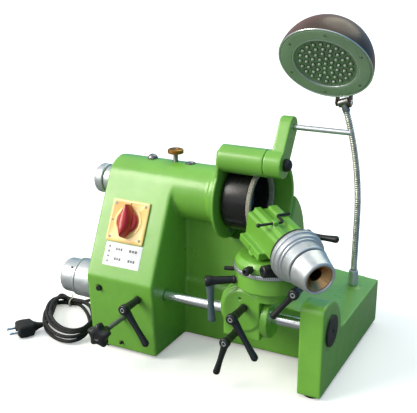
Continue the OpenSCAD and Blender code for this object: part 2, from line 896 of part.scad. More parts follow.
module gooseneck() {
  color(silver) {
    rod_z(neck_foot_z, 27, 9, neck_x, neck_y);
    rod_z(neck_foot_z + 10, neck_straight_z - neck_foot_z - 10, neck_r, neck_x, neck_y);
    translate([neck_x - neck_bend_r, neck_y, neck_straight_z]) rotate([90, 0, 0])
      rotate_extrude(angle = neck_bend_a, $fn = 180) translate([neck_bend_r, 0]) circle(r = neck_r);
    rod_x(neck_end[0] - 9, 18, 7, neck_end[1], neck_end[2]);
  }
}

// Two cheeks that hold the knuckle at the end of the gooseneck.
module lamp_cheeks() {
  for (x = [-12.5, 9.3]) along_x(neck_end[0] + x, 3.2) {
    translate([neck_end[1], neck_end[2]]) circle(r = 7.5);
    translate([neck_end[1] - 6, neck_end[2]]) square([12, 22]);
  }
}

module lamp_shell() {
  dome_r = (lamp_r * lamp_r + lamp_depth * lamp_depth) / (2 * lamp_depth);
  inner_r = dome_r - 2.5;
  color([0.30, 0.18, 0.10]) difference() {
    union() {
      lamp_frame() intersection() {
        translate([0, 0, lamp_depth - dome_r]) sphere(r = dome_r);
        cylinder(h = lamp_depth + 10, r = lamp_r);
      }
      lamp_cheeks();
    }
    lamp_frame() intersection() {
      translate([0, 0, lamp_depth - dome_r]) sphere(r = inner_r);
      translate([0, 0, -40]) cylinder(h = lamp_depth + 50, r = lamp_r - 2.5);
    }
  }
}

module lamp_face_ring() {
  color([0.45, 0.50, 0.42]) lamp_frame() turned_z([[53, -2], [lamp_r - 3, -2], [lamp_r - 3, 3], [53, 3]]);
}

module lamp_lens() {
  color([0.80, 0.84, 0.80]) lamp_frame() cylinder(h = 4, r = 53);
}

module turned_z(outline) {
  rotate_extrude() polygon(outline);
}

// ---------- power cord ----------

coil_pos = [-285, -105, 6];
coil_r = 41;
coil_half = 48;

// One racetrack loop of cord in the local X-Y plane.
module cord_loop(r, half) {
  for (s = [0, 180]) rotate([0, 0, s]) translate([half, 0, 0]) rotate([0, 0, -90])
    rotate_extrude(angle = 180) translate([r, 0]) circle(r = 4);
  for (s = [-1, 1]) translate([-half, s * r, 0]) rotate([0, 90, 0]) cylinder(h = 2 * half, r = 4);
}

module power_cord() {
  color(black) translate(coil_pos) rotate([0, 0, -47])
    for (i = [0:2]) translate([2 * i, 2 * i, 6 * i]) cord_loop(coil_r - 4 * i, coil_half);
}

module power_plug() {
  color(black) translate([-322, -172, 12]) rotate([0, 0, 55]) {
    translate([-16, -18, -11]) cube([34, 36, 24]);
    for (s = [-1, 1]) translate([-16, s * 7, 0]) rotate([0, -90, 0]) cylinder(h = 16, r = 2.5);
  }
}

base_casting();
rear_cover();
cover_screws();
rubber_feet();
wheel_guard();
switch_plate();
switch_body();
switch_knob();
bar_end_cap();
feed_sleeve();
feed_dial();
guide_bar();
spindle_feed_collar();
spindle_feed_knob();
quill_lock_screw();
housing_plugs();
socket_plugs();
bar_clamp_lever();
star_knob();
motor_housing();
motor_shaft();
motor_pulley();
drive_belt();
quill_sleeve();
bearing_outer_rings();
bearing_inner_sets();
spindle_shaft();
spindle_pulley();
wheel_hub();
grinding_wheel();
abrasive_ring();
arbor_nut();
carriage_collar();
carriage_block();
carriage_lever_upper();
carriage_lever_lower();
swivel_clamp_lever();
swivel_index_pin();
graduated_ring();
swivel_base();
swivel_lock_knob();
tilt_clamp_knob();
post_clamp_lever();
head_body();
index_latch();
head_lock_lever();
index_plate();
graduated_dial();
collet_spindle();
collet_nose();
collet();
dresser_arm();
arm_screw();
support_rod();
gooseneck();
lamp_shell();
lamp_face_ring();
lamp_lens();
power_cord();
power_plug();
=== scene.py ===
"""Looks of a bench drill grinder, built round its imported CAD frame. Lengths of new pieces are in mm."""
import json
import math

import bmesh
import bpy
import numpy as np
from mathutils import Matrix, Vector


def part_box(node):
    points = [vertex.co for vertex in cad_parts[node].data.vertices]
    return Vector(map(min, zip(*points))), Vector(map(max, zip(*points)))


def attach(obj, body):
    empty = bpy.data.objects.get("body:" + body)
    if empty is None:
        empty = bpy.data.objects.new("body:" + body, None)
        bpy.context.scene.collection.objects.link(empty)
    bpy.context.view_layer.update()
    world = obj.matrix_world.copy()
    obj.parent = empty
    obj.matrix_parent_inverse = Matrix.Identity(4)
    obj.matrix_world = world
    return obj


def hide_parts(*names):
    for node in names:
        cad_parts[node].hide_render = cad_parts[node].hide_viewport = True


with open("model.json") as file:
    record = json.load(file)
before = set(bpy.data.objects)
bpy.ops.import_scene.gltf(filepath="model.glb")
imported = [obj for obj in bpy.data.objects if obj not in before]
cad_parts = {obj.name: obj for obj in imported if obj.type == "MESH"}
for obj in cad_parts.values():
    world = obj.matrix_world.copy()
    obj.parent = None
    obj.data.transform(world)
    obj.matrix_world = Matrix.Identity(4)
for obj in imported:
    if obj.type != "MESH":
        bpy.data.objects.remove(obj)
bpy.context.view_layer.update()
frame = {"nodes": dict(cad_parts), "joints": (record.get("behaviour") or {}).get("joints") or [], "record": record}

MM = 0.001
TURN = 2 * math.pi
NODES = frame["nodes"]
JOINTS = {j["name"]: j for j in frame["joints"]}
BODY_OF = {n: body for body, members in frame["record"]["behaviour"]["bodies"].items() for n in members}
link = bpy.context.scene.collection.objects.link


# ---------- places taken from the frame ----------

def points(node):
    """Vertices of a CAD node in metres, in the row frame."""
    return np.array([v.co for v in NODES[node].data.vertices], float)


def axis_frame(origin, axis, toward=(0, 0, 1)):
    """A frame whose Z runs along axis and whose X leans toward the given direction."""
    z = Vector(axis).normalized()
    x = Vector(toward) - Vector(toward).dot(z) * z
    if x.length < 1e-6:
        x = z.orthogonal()
    x.normalize()
    place = Matrix((x, z.cross(x), z)).transposed().to_4x4()
    place.translation = Vector(origin)
    return place


def along(place, distance):
    """The same frame moved by distance mm along its own Z."""
    return place @ Matrix.Translation((0, 0, distance * MM))


def reach(node, place):
    """Lowest and highest corner of a node in a frame, in mm."""
    local = points(node) @ np.array(place.inverted().to_3x3()).T + np.array(place.inverted().translation)
    return local.min(0) / MM, local.max(0) / MM


def hinge_frame(joint, node, side=1):
    """Frame on a hinge: Z along its axis (against it for side -1), X toward the node's farthest point."""
    origin, axis = Vector(JOINTS[joint]["pos_m"]), Vector(JOINTS[joint]["axis"]).normalized() * side
    cloud = points(node) - np.array(origin)
    flat = cloud - np.outer(cloud @ np.array(axis), np.array(axis))
    far = flat[np.argmax((flat ** 2).sum(1))]
    return axis_frame(origin, axis, far)


# ---------- materials ----------

class Shader:
    """The nodes of a new material or of the world, with short calls that add and join them."""

    def __init__(self, owner, surface="Principled BSDF", space="Object"):
        self.material = bpy.data.materials.new(owner) if isinstance(owner, str) else owner
        self.material.use_nodes = True
        self.tree = self.material.node_tree
        self.surface = self.tree.nodes[surface]
        self.coords = self.add("TexCoord", {}).outputs[space]

    def feed(self, node, inputs):
        for key, value in inputs.items():
            if isinstance(value, bpy.types.NodeSocket):
                self.tree.links.new(value, node.inputs[key])
            else:
                node.inputs[key].default_value = value

    def add(self, kind, inputs, **settings):
        node = self.tree.nodes.new("ShaderNode" + kind)
        for key, value in settings.items():
            setattr(node, key, value)
        self.feed(node, inputs)
        return node

    def set(self, **inputs):
        self.feed(self.surface, {key.replace("_", " "): value for key, value in inputs.items()})

    def noise(self, scale, detail=3.0, coords=None):
        inputs = {"Vector": coords or self.coords, "Scale": scale, "Detail": detail}
        return self.add("TexNoise", inputs).outputs["Fac"]

    def level(self, value, low, high, out_low=0.0, out_high=1.0):
        inputs = {"Value": value, "From Min": low, "From Max": high, "To Min": out_low, "To Max": out_high}
        return self.add("MapRange", inputs).outputs["Result"]

    def maths(self, operation, a, b=0.0):
        return self.add("Math", {0: a, 1: b}, operation=operation).outputs[0]

    def mix(self, amount, a, b, blend="MIX"):
        return self.add("MixRGB", {"Fac": amount, "Color1": a, "Color2": b},
                        blend_type=blend).outputs["Color"]

    def bump(self, height, depth, under=None):
        inputs = {"Height": height, "Distance": depth * MM, "Strength": 1.0}
        if under is not None:
            inputs["Normal"] = under
        return self.add("Bump", inputs).outputs["Normal"]


def rgb(red, green, blue):
    """Linear colour of an sRGB triple given as 0 to 255."""
    def linear(c):
        c /= 255
        return c / 12.92 if c < 0.04045 else ((c + 0.055) / 1.055) ** 2.4
    return (linear(red), linear(green), linear(blue), 1.0)


def shade_of(colour, gain):
    return tuple(min(1.0, c * gain) for c in colour[:3]) + (1.0,)


def paint(name, colour, coat=0.5, rough=0.34):
    """Sprayed enamel on a casting: patchy tone, orange peel, worn convex edges with chips, a painted highlight
    lightening those edges and painted shade darkening concave creases.
    """
    s = Shader(name)
    tone = s.mix(s.level(s.noise(7, 4), 0.3, 0.7), shade_of(colour, 0.90), shade_of(colour, 1.08))
    tone = s.mix(s.level(s.noise(55, 5), 0.42, 0.75, 0, 0.35), tone, shade_of(colour, 0.80))
    edge = s.add("NewGeometry", {}).outputs["Pointiness"]
    # Lighter convex edges: partly paint rubbed thin, partly a painted highlight along the edges.
    worn_and_highlit_edge = s.maths("MULTIPLY", s.level(edge, 0.52, 0.60), s.level(s.noise(120, 4), 0.35, 0.6))
    chips = s.maths("MULTIPLY", s.level(edge, 0.545, 0.56), s.level(s.noise(260, 5), 0.63, 0.66))
    # Darker concave creases: painted shade where light falls off in the creases.
    painted_crease_shade = s.level(edge, 0.485, 0.44, 0, 0.55)
    tone = s.mix(s.maths("MULTIPLY", worn_and_highlit_edge, 0.45), tone, shade_of(colour, 1.45))
    tone = s.mix(painted_crease_shade, tone, shade_of(colour, 0.35))
    tone = s.mix(s.maths("MULTIPLY", chips, 0.8), tone, rgb(120, 122, 112))
    peel = s.bump(s.noise(620, 2), 0.035, s.bump(s.noise(90, 4), 0.22))
    s.set(Base_Color=tone, Normal=peel, Coat_Weight=coat, Coat_Roughness=0.16)
    s.set(Roughness=s.level(s.noise(30, 4), 0.3, 0.7, rough - 0.07, rough + 0.10))
    return s.material


def metal(name, colour, rough, tarnish=0.82, rings=0.0, grain=0.02, patch=40, metallic=1.0):
    """Machined metal: cloudy tone, smudged gloss and, on turned pieces, tool rings about local Z."""
    s = Shader(name)
    clouds = s.level(s.noise(patch, 5), 0.35, 0.7)
    tone = s.mix(clouds, colour, shade_of(colour, tarnish))
    height = s.noise(900, 4)
    depth = grain
    if rings:
        split = s.add("SeparateXYZ", {"Vector": s.coords})
        radius = s.maths("SQRT", s.maths("ADD", s.maths("POWER", split.outputs[0], 2.0),
                                         s.maths("POWER", split.outputs[1], 2.0)))
        lathe_xyz = s.add("CombineXYZ", {0: radius, 1: split.outputs[2]}).outputs[0]
        height = s.noise(2600, 2, lathe_xyz)
        depth = rings
        tone = s.mix(s.level(s.noise(1500, 2, lathe_xyz), 0.4, 0.7, 0, 0.5), tone, shade_of(colour, tarnish))
    s.set(Base_Color=tone, Metallic=metallic, Normal=s.bump(height, depth))
    s.set(Roughness=s.level(s.noise(patch * 3, 5), 0.3, 0.7, rough * 0.8, rough * 1.35))
    return s.material


def plastic(name, colour, rough, worn=1.6, grain=0.03, coat=0.0, scale=1400):
    """Moulded plastic or rubber: fine spark texture, slight tone drift and dusty or scuffed patches."""
    s = Shader(name)
    tone = s.mix(s.level(s.noise(25, 4), 0.35, 0.7), colour, shade_of(colour, 1.25))
    tone = s.mix(s.level(s.noise(170, 6), 0.60, 0.78, 0, 0.5), tone, shade_of(colour, worn))
    s.set(Base_Color=tone, Normal=s.bump(s.noise(scale, 3), grain), Coat_Weight=coat, Coat_Roughness=0.12)
    s.set(Roughness=s.level(s.noise(60, 5), 0.3, 0.7, rough * 0.85, min(1.0, rough * 1.2)))
    return s.material


def abrasive_grit(name):
    """Bonded grit: pale and dark grains with open pores between them."""
    s = Shader(name)
    cells = s.add("TexVoronoi", {"Vector": s.coords, "Scale": 1100.0})
    grains = s.level(cells.outputs["Distance"], 0.0, 0.7)
    tone = s.mix(grains, rgb(226, 220, 200), rgb(120, 116, 104))
    tone = s.mix(s.level(s.noise(420, 6), 0.5, 0.7, 0, 0.6), tone, rgb(96, 92, 84))
    s.set(Base_Color=tone, Normal=s.bump(grains, 0.25), Roughness=0.85)
    return s.material


def lamp_enamel(name):
    """Deep brown gloss with a painted sheen: the colour turns copper where it is seen edge-on."""
    s = Shader(name)
    # Painted sheen: copper tone toward edge-on views, darker brown face-on.
    rim = s.add("LayerWeight", {"Blend": 0.35}).outputs["Facing"]
    tone = s.mix(s.level(rim, 0.35, 0.95), rgb(60, 40, 24), rgb(136, 82, 34))
    tone = s.mix(s.level(s.noise(90, 5), 0.55, 0.8, 0, 0.3), tone, rgb(30, 20, 16))
    s.set(Base_Color=tone, Normal=s.bump(s.noise(500, 2), 0.02), Coat_Weight=0.3, Coat_Roughness=0.2)
    s.set(Roughness=s.level(s.noise(40, 4), 0.3, 0.7, 0.34, 0.46))
    return s.material


GREEN = rgb(116, 179, 65)
FINISH = {
    "green_paint": paint("green_paint_finish", GREEN),
    "aluminium": metal("aluminium_finish", rgb(206, 211, 215), 0.36, 0.90, rings=0.012, metallic=0.75),
    "chrome": metal("chrome_finish", rgb(232, 237, 243), 0.20, 0.93, grain=0.004, patch=22),
    "steel": metal("steel_finish", rgb(150, 150, 150), 0.34, 0.72, grain=0.02, patch=60),
    "black_plastic": plastic("black_plastic_finish", rgb(24, 25, 28), 0.40),
    "grey_plastic": plastic("grey_plastic_finish", rgb(76, 94, 98), 0.42, 1.3),
    "yellow_plastic": plastic("yellow_plastic_finish", rgb(244, 200, 122), 0.32, 0.93, 0.02, coat=0.4),
    "red_plastic": plastic("red_plastic_finish", rgb(174, 16, 24), 0.34, 0.85, 0.02, coat=0.4),
    "rubber": plastic("rubber_finish", rgb(26, 26, 27), 0.75, 2.2, 0.10, scale=500),
    "brass": metal("brass_finish", rgb(176, 128, 62), 0.38, 0.60, rings=0.015),
    "bronze": metal("bronze_finish", rgb(206, 164, 116), 0.30, 0.62, rings=0.010),
    "wheel_body": plastic("wheel_body_finish", rgb(20, 19, 20), 0.26, 2.6, 0.03, scale=800),
    "abrasive": abrasive_grit("abrasive_finish"),
    "cast_iron": metal("cast_iron_finish", rgb(92, 92, 92), 0.62, 0.65, grain=0.15, patch=80),
    "lamp_enamel": lamp_enamel("lamp_enamel_finish"),
    "lamp_grey": plastic("lamp_grey_finish", rgb(134, 158, 130), 0.42, 0.9, 0.02, coat=0.2),
    "lens": plastic("lens_finish", rgb(104, 126, 101), 0.26, 1.3, 0.01, coat=0.6),
}
LABEL_WHITE = plastic("label_finish", rgb(226, 228, 230), 0.45, 0.9, 0.01)
INK = plastic("ink_finish", rgb(96, 100, 106), 0.55, 1.2, 0.01)
LED_CLEAR = plastic("led_finish", rgb(176, 190, 170), 0.14, 0.9, 0.01, coat=0.6)
NECK_METAL = metal("neck_finish", rgb(212, 211, 202), 0.26, 0.66, grain=0.006, patch=60)
TIE_WHITE = plastic("tie_finish", rgb(205, 205, 188), 0.5, 0.8, 0.02)


# ---------- mesh helpers ----------

def piece(name, verts, faces, place, body, slot, stands_for=(), look=None, crease=32):
    """A new piece. Its vertices are in mm in the frame `place`, and it rides on a body."""
    mesh = bpy.data.meshes.new(name)
    mesh.from_pydata([tuple(c * MM for c in v) for v in verts], [], faces)
    form = bmesh.new()
    form.from_mesh(mesh)
    bmesh.ops.remove_doubles(form, verts=form.verts, dist=1e-6)
    bmesh.ops.dissolve_degenerate(form, edges=form.edges, dist=1e-7)
    bmesh.ops.recalc_face_normals(form, faces=form.faces)
    form.to_mesh(mesh)
    form.free()
    mesh.materials.append(look or FINISH[slot])
    mesh.shade_smooth()
    mesh.set_sharp_from_angle(angle=math.radians(crease))
    made = bpy.data.objects.new(name, mesh)
    link(made)
    made.matrix_world = place
    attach(made, body)
    if stands_for:
        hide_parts(*stands_for)
    return made


def rounded(outline, radius, steps=3):
    """A closed outline with every corner rounded, or less where its sides are short."""
    result = []
    count = len(outline)
    for i in range(count):
        here = Vector(outline[i])
        before, after = Vector(outline[i - 1]), Vector(outline[(i + 1) % count])
        cut = min(radius, (before - here).length * 0.45, (after - here).length * 0.45)
        if abs(here.y) < 1e-6 or cut < 1e-3:
            result.append(tuple(here))
            continue
        a, b = here + (before - here).normalized() * cut, here + (after - here).normalized() * cut
        for k in range(steps + 1):
            t = k / steps
            result.append(tuple((1 - t) ** 2 * a + 2 * t * (1 - t) * here + t * t * b))
    return result


def finer(outline, step):
    """The outline with its long sides cut into lengths of at most step mm."""
    result = []
    for i, here in enumerate(outline):
        there = outline[(i + 1) % len(outline)]
        parts = max(1, math.ceil(math.dist(here, there) / step))
        result += [tuple(h + (t - h) * k / parts for h, t in zip(here, there)) for k in range(parts)]
    return result


def lathe(outline, segments=96, wave=None):
    """A turned solid about local Z; the outline is [(distance along Z, radius)], wave adds to a radius."""
    verts, faces, count = [], [], len(outline)
    for i in range(segments):
        a = TURN * i / segments
        for z, r in outline:
            swell = wave(a, z, r) if wave and r > 0 else 0.0
            verts.append(((r + swell) * math.cos(a), (r + swell) * math.sin(a), z))
        j = (i + 1) % segments
        for k in range(count):
            m = (k + 1) % count
            faces.append((i * count + k, i * count + m, j * count + m, j * count + k))
    return verts, faces


def sweep(path, radius, sides=16, flat=1.0):
    """A round tube along a path of points; radius is a function of the distance along it."""
    spots = [Vector(p) for p in path]
    count = len(spots)
    verts, faces, travelled = [], [], 0.0
    normal = (spots[1] - spots[0]).orthogonal().normalized()
    for i, spot in enumerate(spots):
        ahead = (spots[min(i + 1, count - 1)] - spots[max(i - 1, 0)]).normalized()
        normal = (normal - normal.dot(ahead) * ahead).normalized()
        side = ahead.cross(normal)
        travelled += (spot - spots[i - 1]).length if i else 0.0
        r = radius(travelled)
        for k in range(sides):
            a = TURN * k / sides
            verts.append(tuple(spot + normal * (r * math.cos(a)) + side * (r * flat * math.sin(a))))
        if i:
            base, last = i * sides, (i - 1) * sides
            faces += [(last + k, last + (k + 1) % sides, base + (k + 1) % sides, base + k)
                      for k in range(sides)]
    faces.append(tuple(range(sides))[::-1])
    faces.append(tuple(range((count - 1) * sides, count * sides)))
    return verts, faces


def loft(levels):
    """A closed solid through outlines of equal length: [(z, [(x, y), ...]), ...]."""
    count = len(levels[0][1])
    verts = [(x, y, z) for z, outline in levels for x, y in outline]
    faces = [tuple(range(count))[::-1], tuple(range((len(levels) - 1) * count, len(levels) * count))]
    for i in range(len(levels) - 1):
        for k in range(count):
            m = (k + 1) % count
            faces.append((i * count + k, i * count + m, (i + 1) * count + m, (i + 1) * count + k))
    return verts, faces


def joined(*parts):
    """Several (verts, faces) pairs as one, each with an optional matrix in mm."""
    verts, faces = [], []
    for part in parts:
        (v, f), place = part if isinstance(part[1], Matrix) else (part, None)
        start = len(verts)
        verts += [tuple(place @ Vector(p)) for p in v] if place else v
        faces += [tuple(start + i for i in face) for face in f]
    return verts, faces


def turn_y(degrees):
    return Matrix.Rotation(math.radians(degrees), 4, "Y")


def turn_z(degrees):
    return Matrix.Rotation(math.radians(degrees), 4, "Z")


def shift(x, y, z):
    return Matrix.Translation((x, y, z))


def rounded_box(size, radius, steps=3):
    """A box of the given size about its centre with rounded vertical and horizontal edges."""
    form = bmesh.new()
    bmesh.ops.create_cube(form, size=1.0)
    bmesh.ops.scale(form, vec=size, verts=form.verts)
    bmesh.ops.bevel(form, geom=form.edges[:], offset=radius, segments=steps, profile=0.5, affect="EDGES")
    form.verts.index_update()
    verts = [tuple(v.co) for v in form.verts]
    faces = [tuple(v.index for v in f.verts) for f in form.faces]
    form.free()
    return verts, faces


def melt(made, voxel, passes):
    """Fuses a piece's overlapping solids into one moulded skin and softens its corners."""
    skin = made.modifiers.new("skin", "REMESH")
    skin.mode, skin.voxel_size, skin.use_smooth_shade = "VOXEL", voxel * MM, True
    soft = made.modifiers.new("soft", "SMOOTH")
    soft.factor, soft.iterations = 0.5, passes
    return made


# ---------- CAD nodes that stay ----------

CAST = {"base_casting": (2.1, 5), "wheel_guard": (1.2, 6), "carriage_block": (1.1, 6),
        "carriage_collar": (1.0, 4), "swivel_base": (1.1, 5), "head_body": (1.0, 5), "dresser_arm": (1.0, 6)}
EASED = {"rear_cover": 0.8, "cover_screws": 0.4, "rubber_feet": 0.8, "switch_body": 0.8, "bar_end_cap": 1.2,
         "guide_bar": 1.0, "motor_shaft": 0.6, "motor_pulley": 0.8, "motor_housing": 0.6,
         "drive_belt": 0.5, "quill_sleeve": 0.8, "bearing_outer_rings": 0.4, "spindle_shaft": 0.8,
         "spindle_pulley": 0.8, "wheel_hub": 0.8, "arbor_nut": 0.7, "collet_spindle": 0.4,
         "index_plate": 0.4, "support_rod": 0.6, "swivel_index_pin": 0.5, "socket_plugs": 0.5}


def dress_cad_nodes():
    """Gives every CAD node its finish, and the shown ones rounded edges."""
    for name, node in NODES.items():
        mesh = node.data
        for i, old in enumerate(mesh.materials):
            mesh.materials[i] = FINISH[old.name]
        if "custom_normal" in mesh.attributes:
            mesh.attributes.remove(mesh.attributes["custom_normal"])
        mesh.shade_smooth()
        mesh.set_sharp_from_angle(angle=math.radians(30))
        if name in CAST:
            melt(node, *CAST[name])
        elif name in EASED:
            weld = node.modifiers.new("weld", "WELD")
            weld.merge_threshold = 1e-5
            planar = node.modifiers.new("planar", "DECIMATE")
            planar.decimate_type, planar.angle_limit = "DISSOLVE", math.radians(0.6)
            ease = node.modifiers.new("ease", "BEVEL")
            ease.limit_method, ease.angle_limit = "ANGLE", math.radians(30)
            ease.width, ease.segments, ease.use_clamp_overlap = EASED[name] * MM, 3, True
            ease.harden_normals = True


# ---------- clamp levers ----------

# Joint, hub height, arm length, stud length and lift of the arm in degrees.
LEVERS = {"bar_clamp_lever": ("bar_clamp_turn", 47, 68, 20, 0),
          "carriage_lever_upper": ("upper_lever_turn", 50, 72, 12, 0),
          "carriage_lever_lower": ("lower_lever_turn", 46, 60, 12, 0),
          "swivel_clamp_lever": ("swivel_lever_turn", 48, 68, 12, 0),
          "post_clamp_lever": ("post_lever_turn", 46, 56, 12, 0),
          "head_lock_lever": ("head_lever_turn", 27, 51, 12, 40)}
HUB_TOP_R = 8.5


def stud_thread(a, z, r):
    """Depth of an M8 thread on an 8 mm stud, and nothing on other radii."""
    return -0.3 * (0.5 + 0.5 * math.cos(TURN * z / 1.25 - a)) if 3.9 < r < 4.1 else 0.0


def clamp_lever(node, joint, hub, arm, stud_length, lift_degrees):
    """Ratchet lever: steel stud, waisted hub, domed elbow, and a slightly waisted grip with a blunt tip."""
    place = hinge_frame(joint, node)
    place = along(place, reach(node, place)[0][2] + stud_length)
    lift = math.radians(lift_degrees)
    elbow_z = hub - HUB_TOP_R
    hub_outline = rounded([(1.5, 0), (1.5, 6.2), (4.5, 6.6), (6.0, 5.6), (elbow_z - 5, 6.6),
                           (elbow_z + 1, 8.3), (hub - 1.0, 8.0), (hub, 5.4), (hub, 0)], 1.6)
    grey = node == "swivel_clamp_lever"
    around = [TURN * k / 20 for k in range(20)]
    stations, rings = 26, []
    for i in range(stations + 1):
        t = i / stations
        width = 7.4 - 1.9 * math.sin(math.pi * t) ** 1.2 - 0.9 * t
        round_off = math.sqrt(max(0.02, 1 - max(0.0, (t - 0.92) / 0.08) ** 2))
        half = max(0.8, width * round_off)
        bow = 3.5 * t ** 2 if grey else 0.0
        rings.append((t * arm, [(bow + half * math.cos(a), half * 0.86 * math.sin(a)) for a in around]))
    arm_place = shift(0, 0, elbow_z) @ Matrix.Rotation(math.pi / 2 - lift, 4, "Y")
    hub_solid, grip_solid = lathe(hub_outline, 40), joined((loft(rings), arm_place))
    if grey:
        piece(node + "_hub", *hub_solid, place, BODY_OF[node], "black_plastic")
        lever = piece(node + "_grip", *grip_solid, place, BODY_OF[node], "grey_plastic", (node,))
    else:
        lever = piece(node + "_grip", *joined(hub_solid, grip_solid), place, BODY_OF[node], "black_plastic",
                      (node,))
    melt(lever, 0.62, 4)
    cap = rounded([(hub - 2.5, 0), (hub - 2.5, 3.9), (hub + 0.1, 3.9), (hub + 0.1, 2.1), (hub - 1.6, 1.9),
                   (hub - 1.6, 0)], 0.4)
    piece(node + "_cap_screw", *lathe(cap, 32), place, BODY_OF[node], "chrome")
    stud = finer(rounded([(-stud_length, 0), (-stud_length, 4.0), (2.5, 4.0), (2.5, 0)], 0.6), 0.45)
    piece(node + "_stud", *lathe(stud, 32, stud_thread), place, BODY_OF[node], "steel")


# ---------- knobs and dials on the casting ----------

def x_frame(node):
    """Frame with Z along the row's +X, centred on a node's own axis."""
    low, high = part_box(node)
    return axis_frame((0, (low.y + high.y) / 2, (low.z + high.z) / 2), (1, 0, 0))


def knurl(count, depth, low, high, above):
    """Diamond knurling between two places along the axis, on radii above a limit."""
    def wave(a, z, r):
        if not (low <= z <= high) or r < above:
            return 0.0
        pitch = TURN * above / count
        u = a * count / TURN + z / pitch
        v = a * count / TURN - z / pitch
        return -depth * max(abs(math.cos(math.pi * u)) ** 6, abs(math.cos(math.pi * v)) ** 6)
    return wave


def tick(length, width, proud=0.12):
    """One graduation line: a thin bar along local Z standing slightly proud of the surface along local X."""
    verts, faces = rounded_box((0.5, width, length), 0.04, 1)
    return [(x + proud - 0.25, y, z) for x, y, z in verts], faces


def graduations(name, place, body, radius, edge, count, lengths, inward=1, width=0.45, span=360):
    """Lines round a drum, starting at edge along the axis; lengths repeat in turn."""
    marks = []
    for i in range(count):
        length = lengths[i % len(lengths)]
        spot = turn_z(span * i / count) @ shift(radius, 0, edge + inward * length / 2)
        marks.append((tick(length, width), spot))
    piece(name, *joined(*marks), place, body, "black_plastic")


def bar_feed():
    """Fixed sleeve and turning micrometer dial on the left end of the guide bar."""
    place = x_frame("guide_bar")
    (left, sleeve_r), right = reach("feed_sleeve", place)[0][[2, 1]], reach("feed_sleeve", place)[1][2]
    sleeve_r = abs(sleeve_r)
    outline = rounded([(left, 5.2), (left, sleeve_r - 1.6), (left + 1.4, sleeve_r - 0.4),
                       (right - 8, sleeve_r), (right - 7.4, sleeve_r - 1.2), (right - 6.8, sleeve_r),
                       (right, sleeve_r), (right, 5.2)], 0.8)
    piece("feed_sleeve_turned", *lathe(outline, 128), place, "base", "aluminium", ("feed_sleeve",))
    low, high = reach("feed_dial", place)
    end = low[2]
    flange = left - 5.0
    grip_r = sleeve_r - 4.0
    outline = [(end, 0), (end, grip_r - 6), (end + 1.2, grip_r - 3.2), (end + 3.4, grip_r - 0.8),
               (end + 6, grip_r), (flange - 3, grip_r), (flange - 1, grip_r - 0.6), (flange, sleeve_r - 0.6),
               (left - 0.9, sleeve_r - 0.3), (left - 0.4, sleeve_r - 1.2), (left - 0.4, 4.9), (high[2], 4.9),
               (high[2], 0)]
    piece("feed_dial_turned", *lathe(finer(rounded(outline, 0.9), 3), 160), place, "bar_feed", "aluminium",
          ("feed_dial",))
    graduations("feed_dial_lines", place, "bar_feed", sleeve_r - 0.45, left - 1.0, 50,
                (2.6, 1.5, 1.5, 1.5, 1.5), -1)
    graduations("feed_sleeve_lines", place, "base", sleeve_r - 0.6, left + 1.6, 20, (5.0, 3.0), 1, span=72)
    hole = rounded([(-0.2, 0), (-0.2, 2.1), (0.25, 2.1), (0.25, 1.5), (0.05, 1.2), (0.05, 0)], 0.1)
    screw = axis_frame(place @ (Vector((0, 0, flange - 6)) * MM), (0, -0.643, 0.766))
    piece("feed_dial_set_screw", *lathe(hole, 24), along(screw, grip_r), "bar_feed", "black_plastic")


def spindle_feed():
    """Collar and rounded feed knob on the left end of the wheel spindle."""
    place = x_frame("spindle_shaft")
    low, high = reach("spindle_feed_collar", place)
    collar_r = high[0]
    outline = rounded([(low[2], 5.2), (low[2], collar_r - 1.2), (low[2] + 1.4, collar_r),
                       (high[2], collar_r), (high[2], 5.2)], 0.8)
    piece("spindle_feed_collar_turned", *lathe(outline, 112), place, "base", "aluminium",
          ("spindle_feed_collar",))
    low_knob, high_knob = reach("spindle_feed_knob", place)
    r, end, inner = high_knob[0], low_knob[2], low[2] - 0.4
    outline = [(end, 0), (end, r - 7), (end + 1.3, r - 3.4), (end + 3.6, r - 1.0), (end + 6.4, r),
               (inner - 1.2, r), (inner, r - 1.2), (inner, 4.9), (high_knob[2], 4.9), (high_knob[2], 0)]
    solid = finer(rounded(outline, 1.0), 0.9)
    piece("spindle_feed_knob_turned", *lathe(solid, 240, knurl(96, 0.22, end + 7, inner - 1.5, r - 0.1)),
          place, "spindle_feed", "aluminium", ("spindle_feed_knob",))


def quill_lock():
    """Knurled brass thumb disc on a dark stud."""
    place = hinge_frame("quill_lock_turn", "quill_lock_screw")
    low, high = reach("quill_lock_screw", place)
    top, r = high[2], high[0]
    disc = [(top - 8, 0), (top - 8, r - 1.5), (top - 7, r), (top - 2.2, r), (top - 0.8, r - 1.4),
            (top, r - 4), (top, 4.4), (top - 1.6, 3.6), (top - 1.6, 0)]
    wave = knurl(44, 0.5, top - 7.1, top - 2.1, r - 0.15)
    piece("quill_lock_disc", *lathe(finer(rounded(disc, 0.5), 0.6), 220, wave), place, "quill_lock", "brass",
          ("quill_lock_screw",))
    stud = finer(rounded([(low[2], 0), (low[2], 4.0), (top - 9, 4.0), (top - 7.5, 5.6), (top - 7.5, 0)],
                         0.4), 0.5)
    piece("quill_lock_stud", *lathe(stud, 32, stud_thread), place, "quill_lock", "steel")


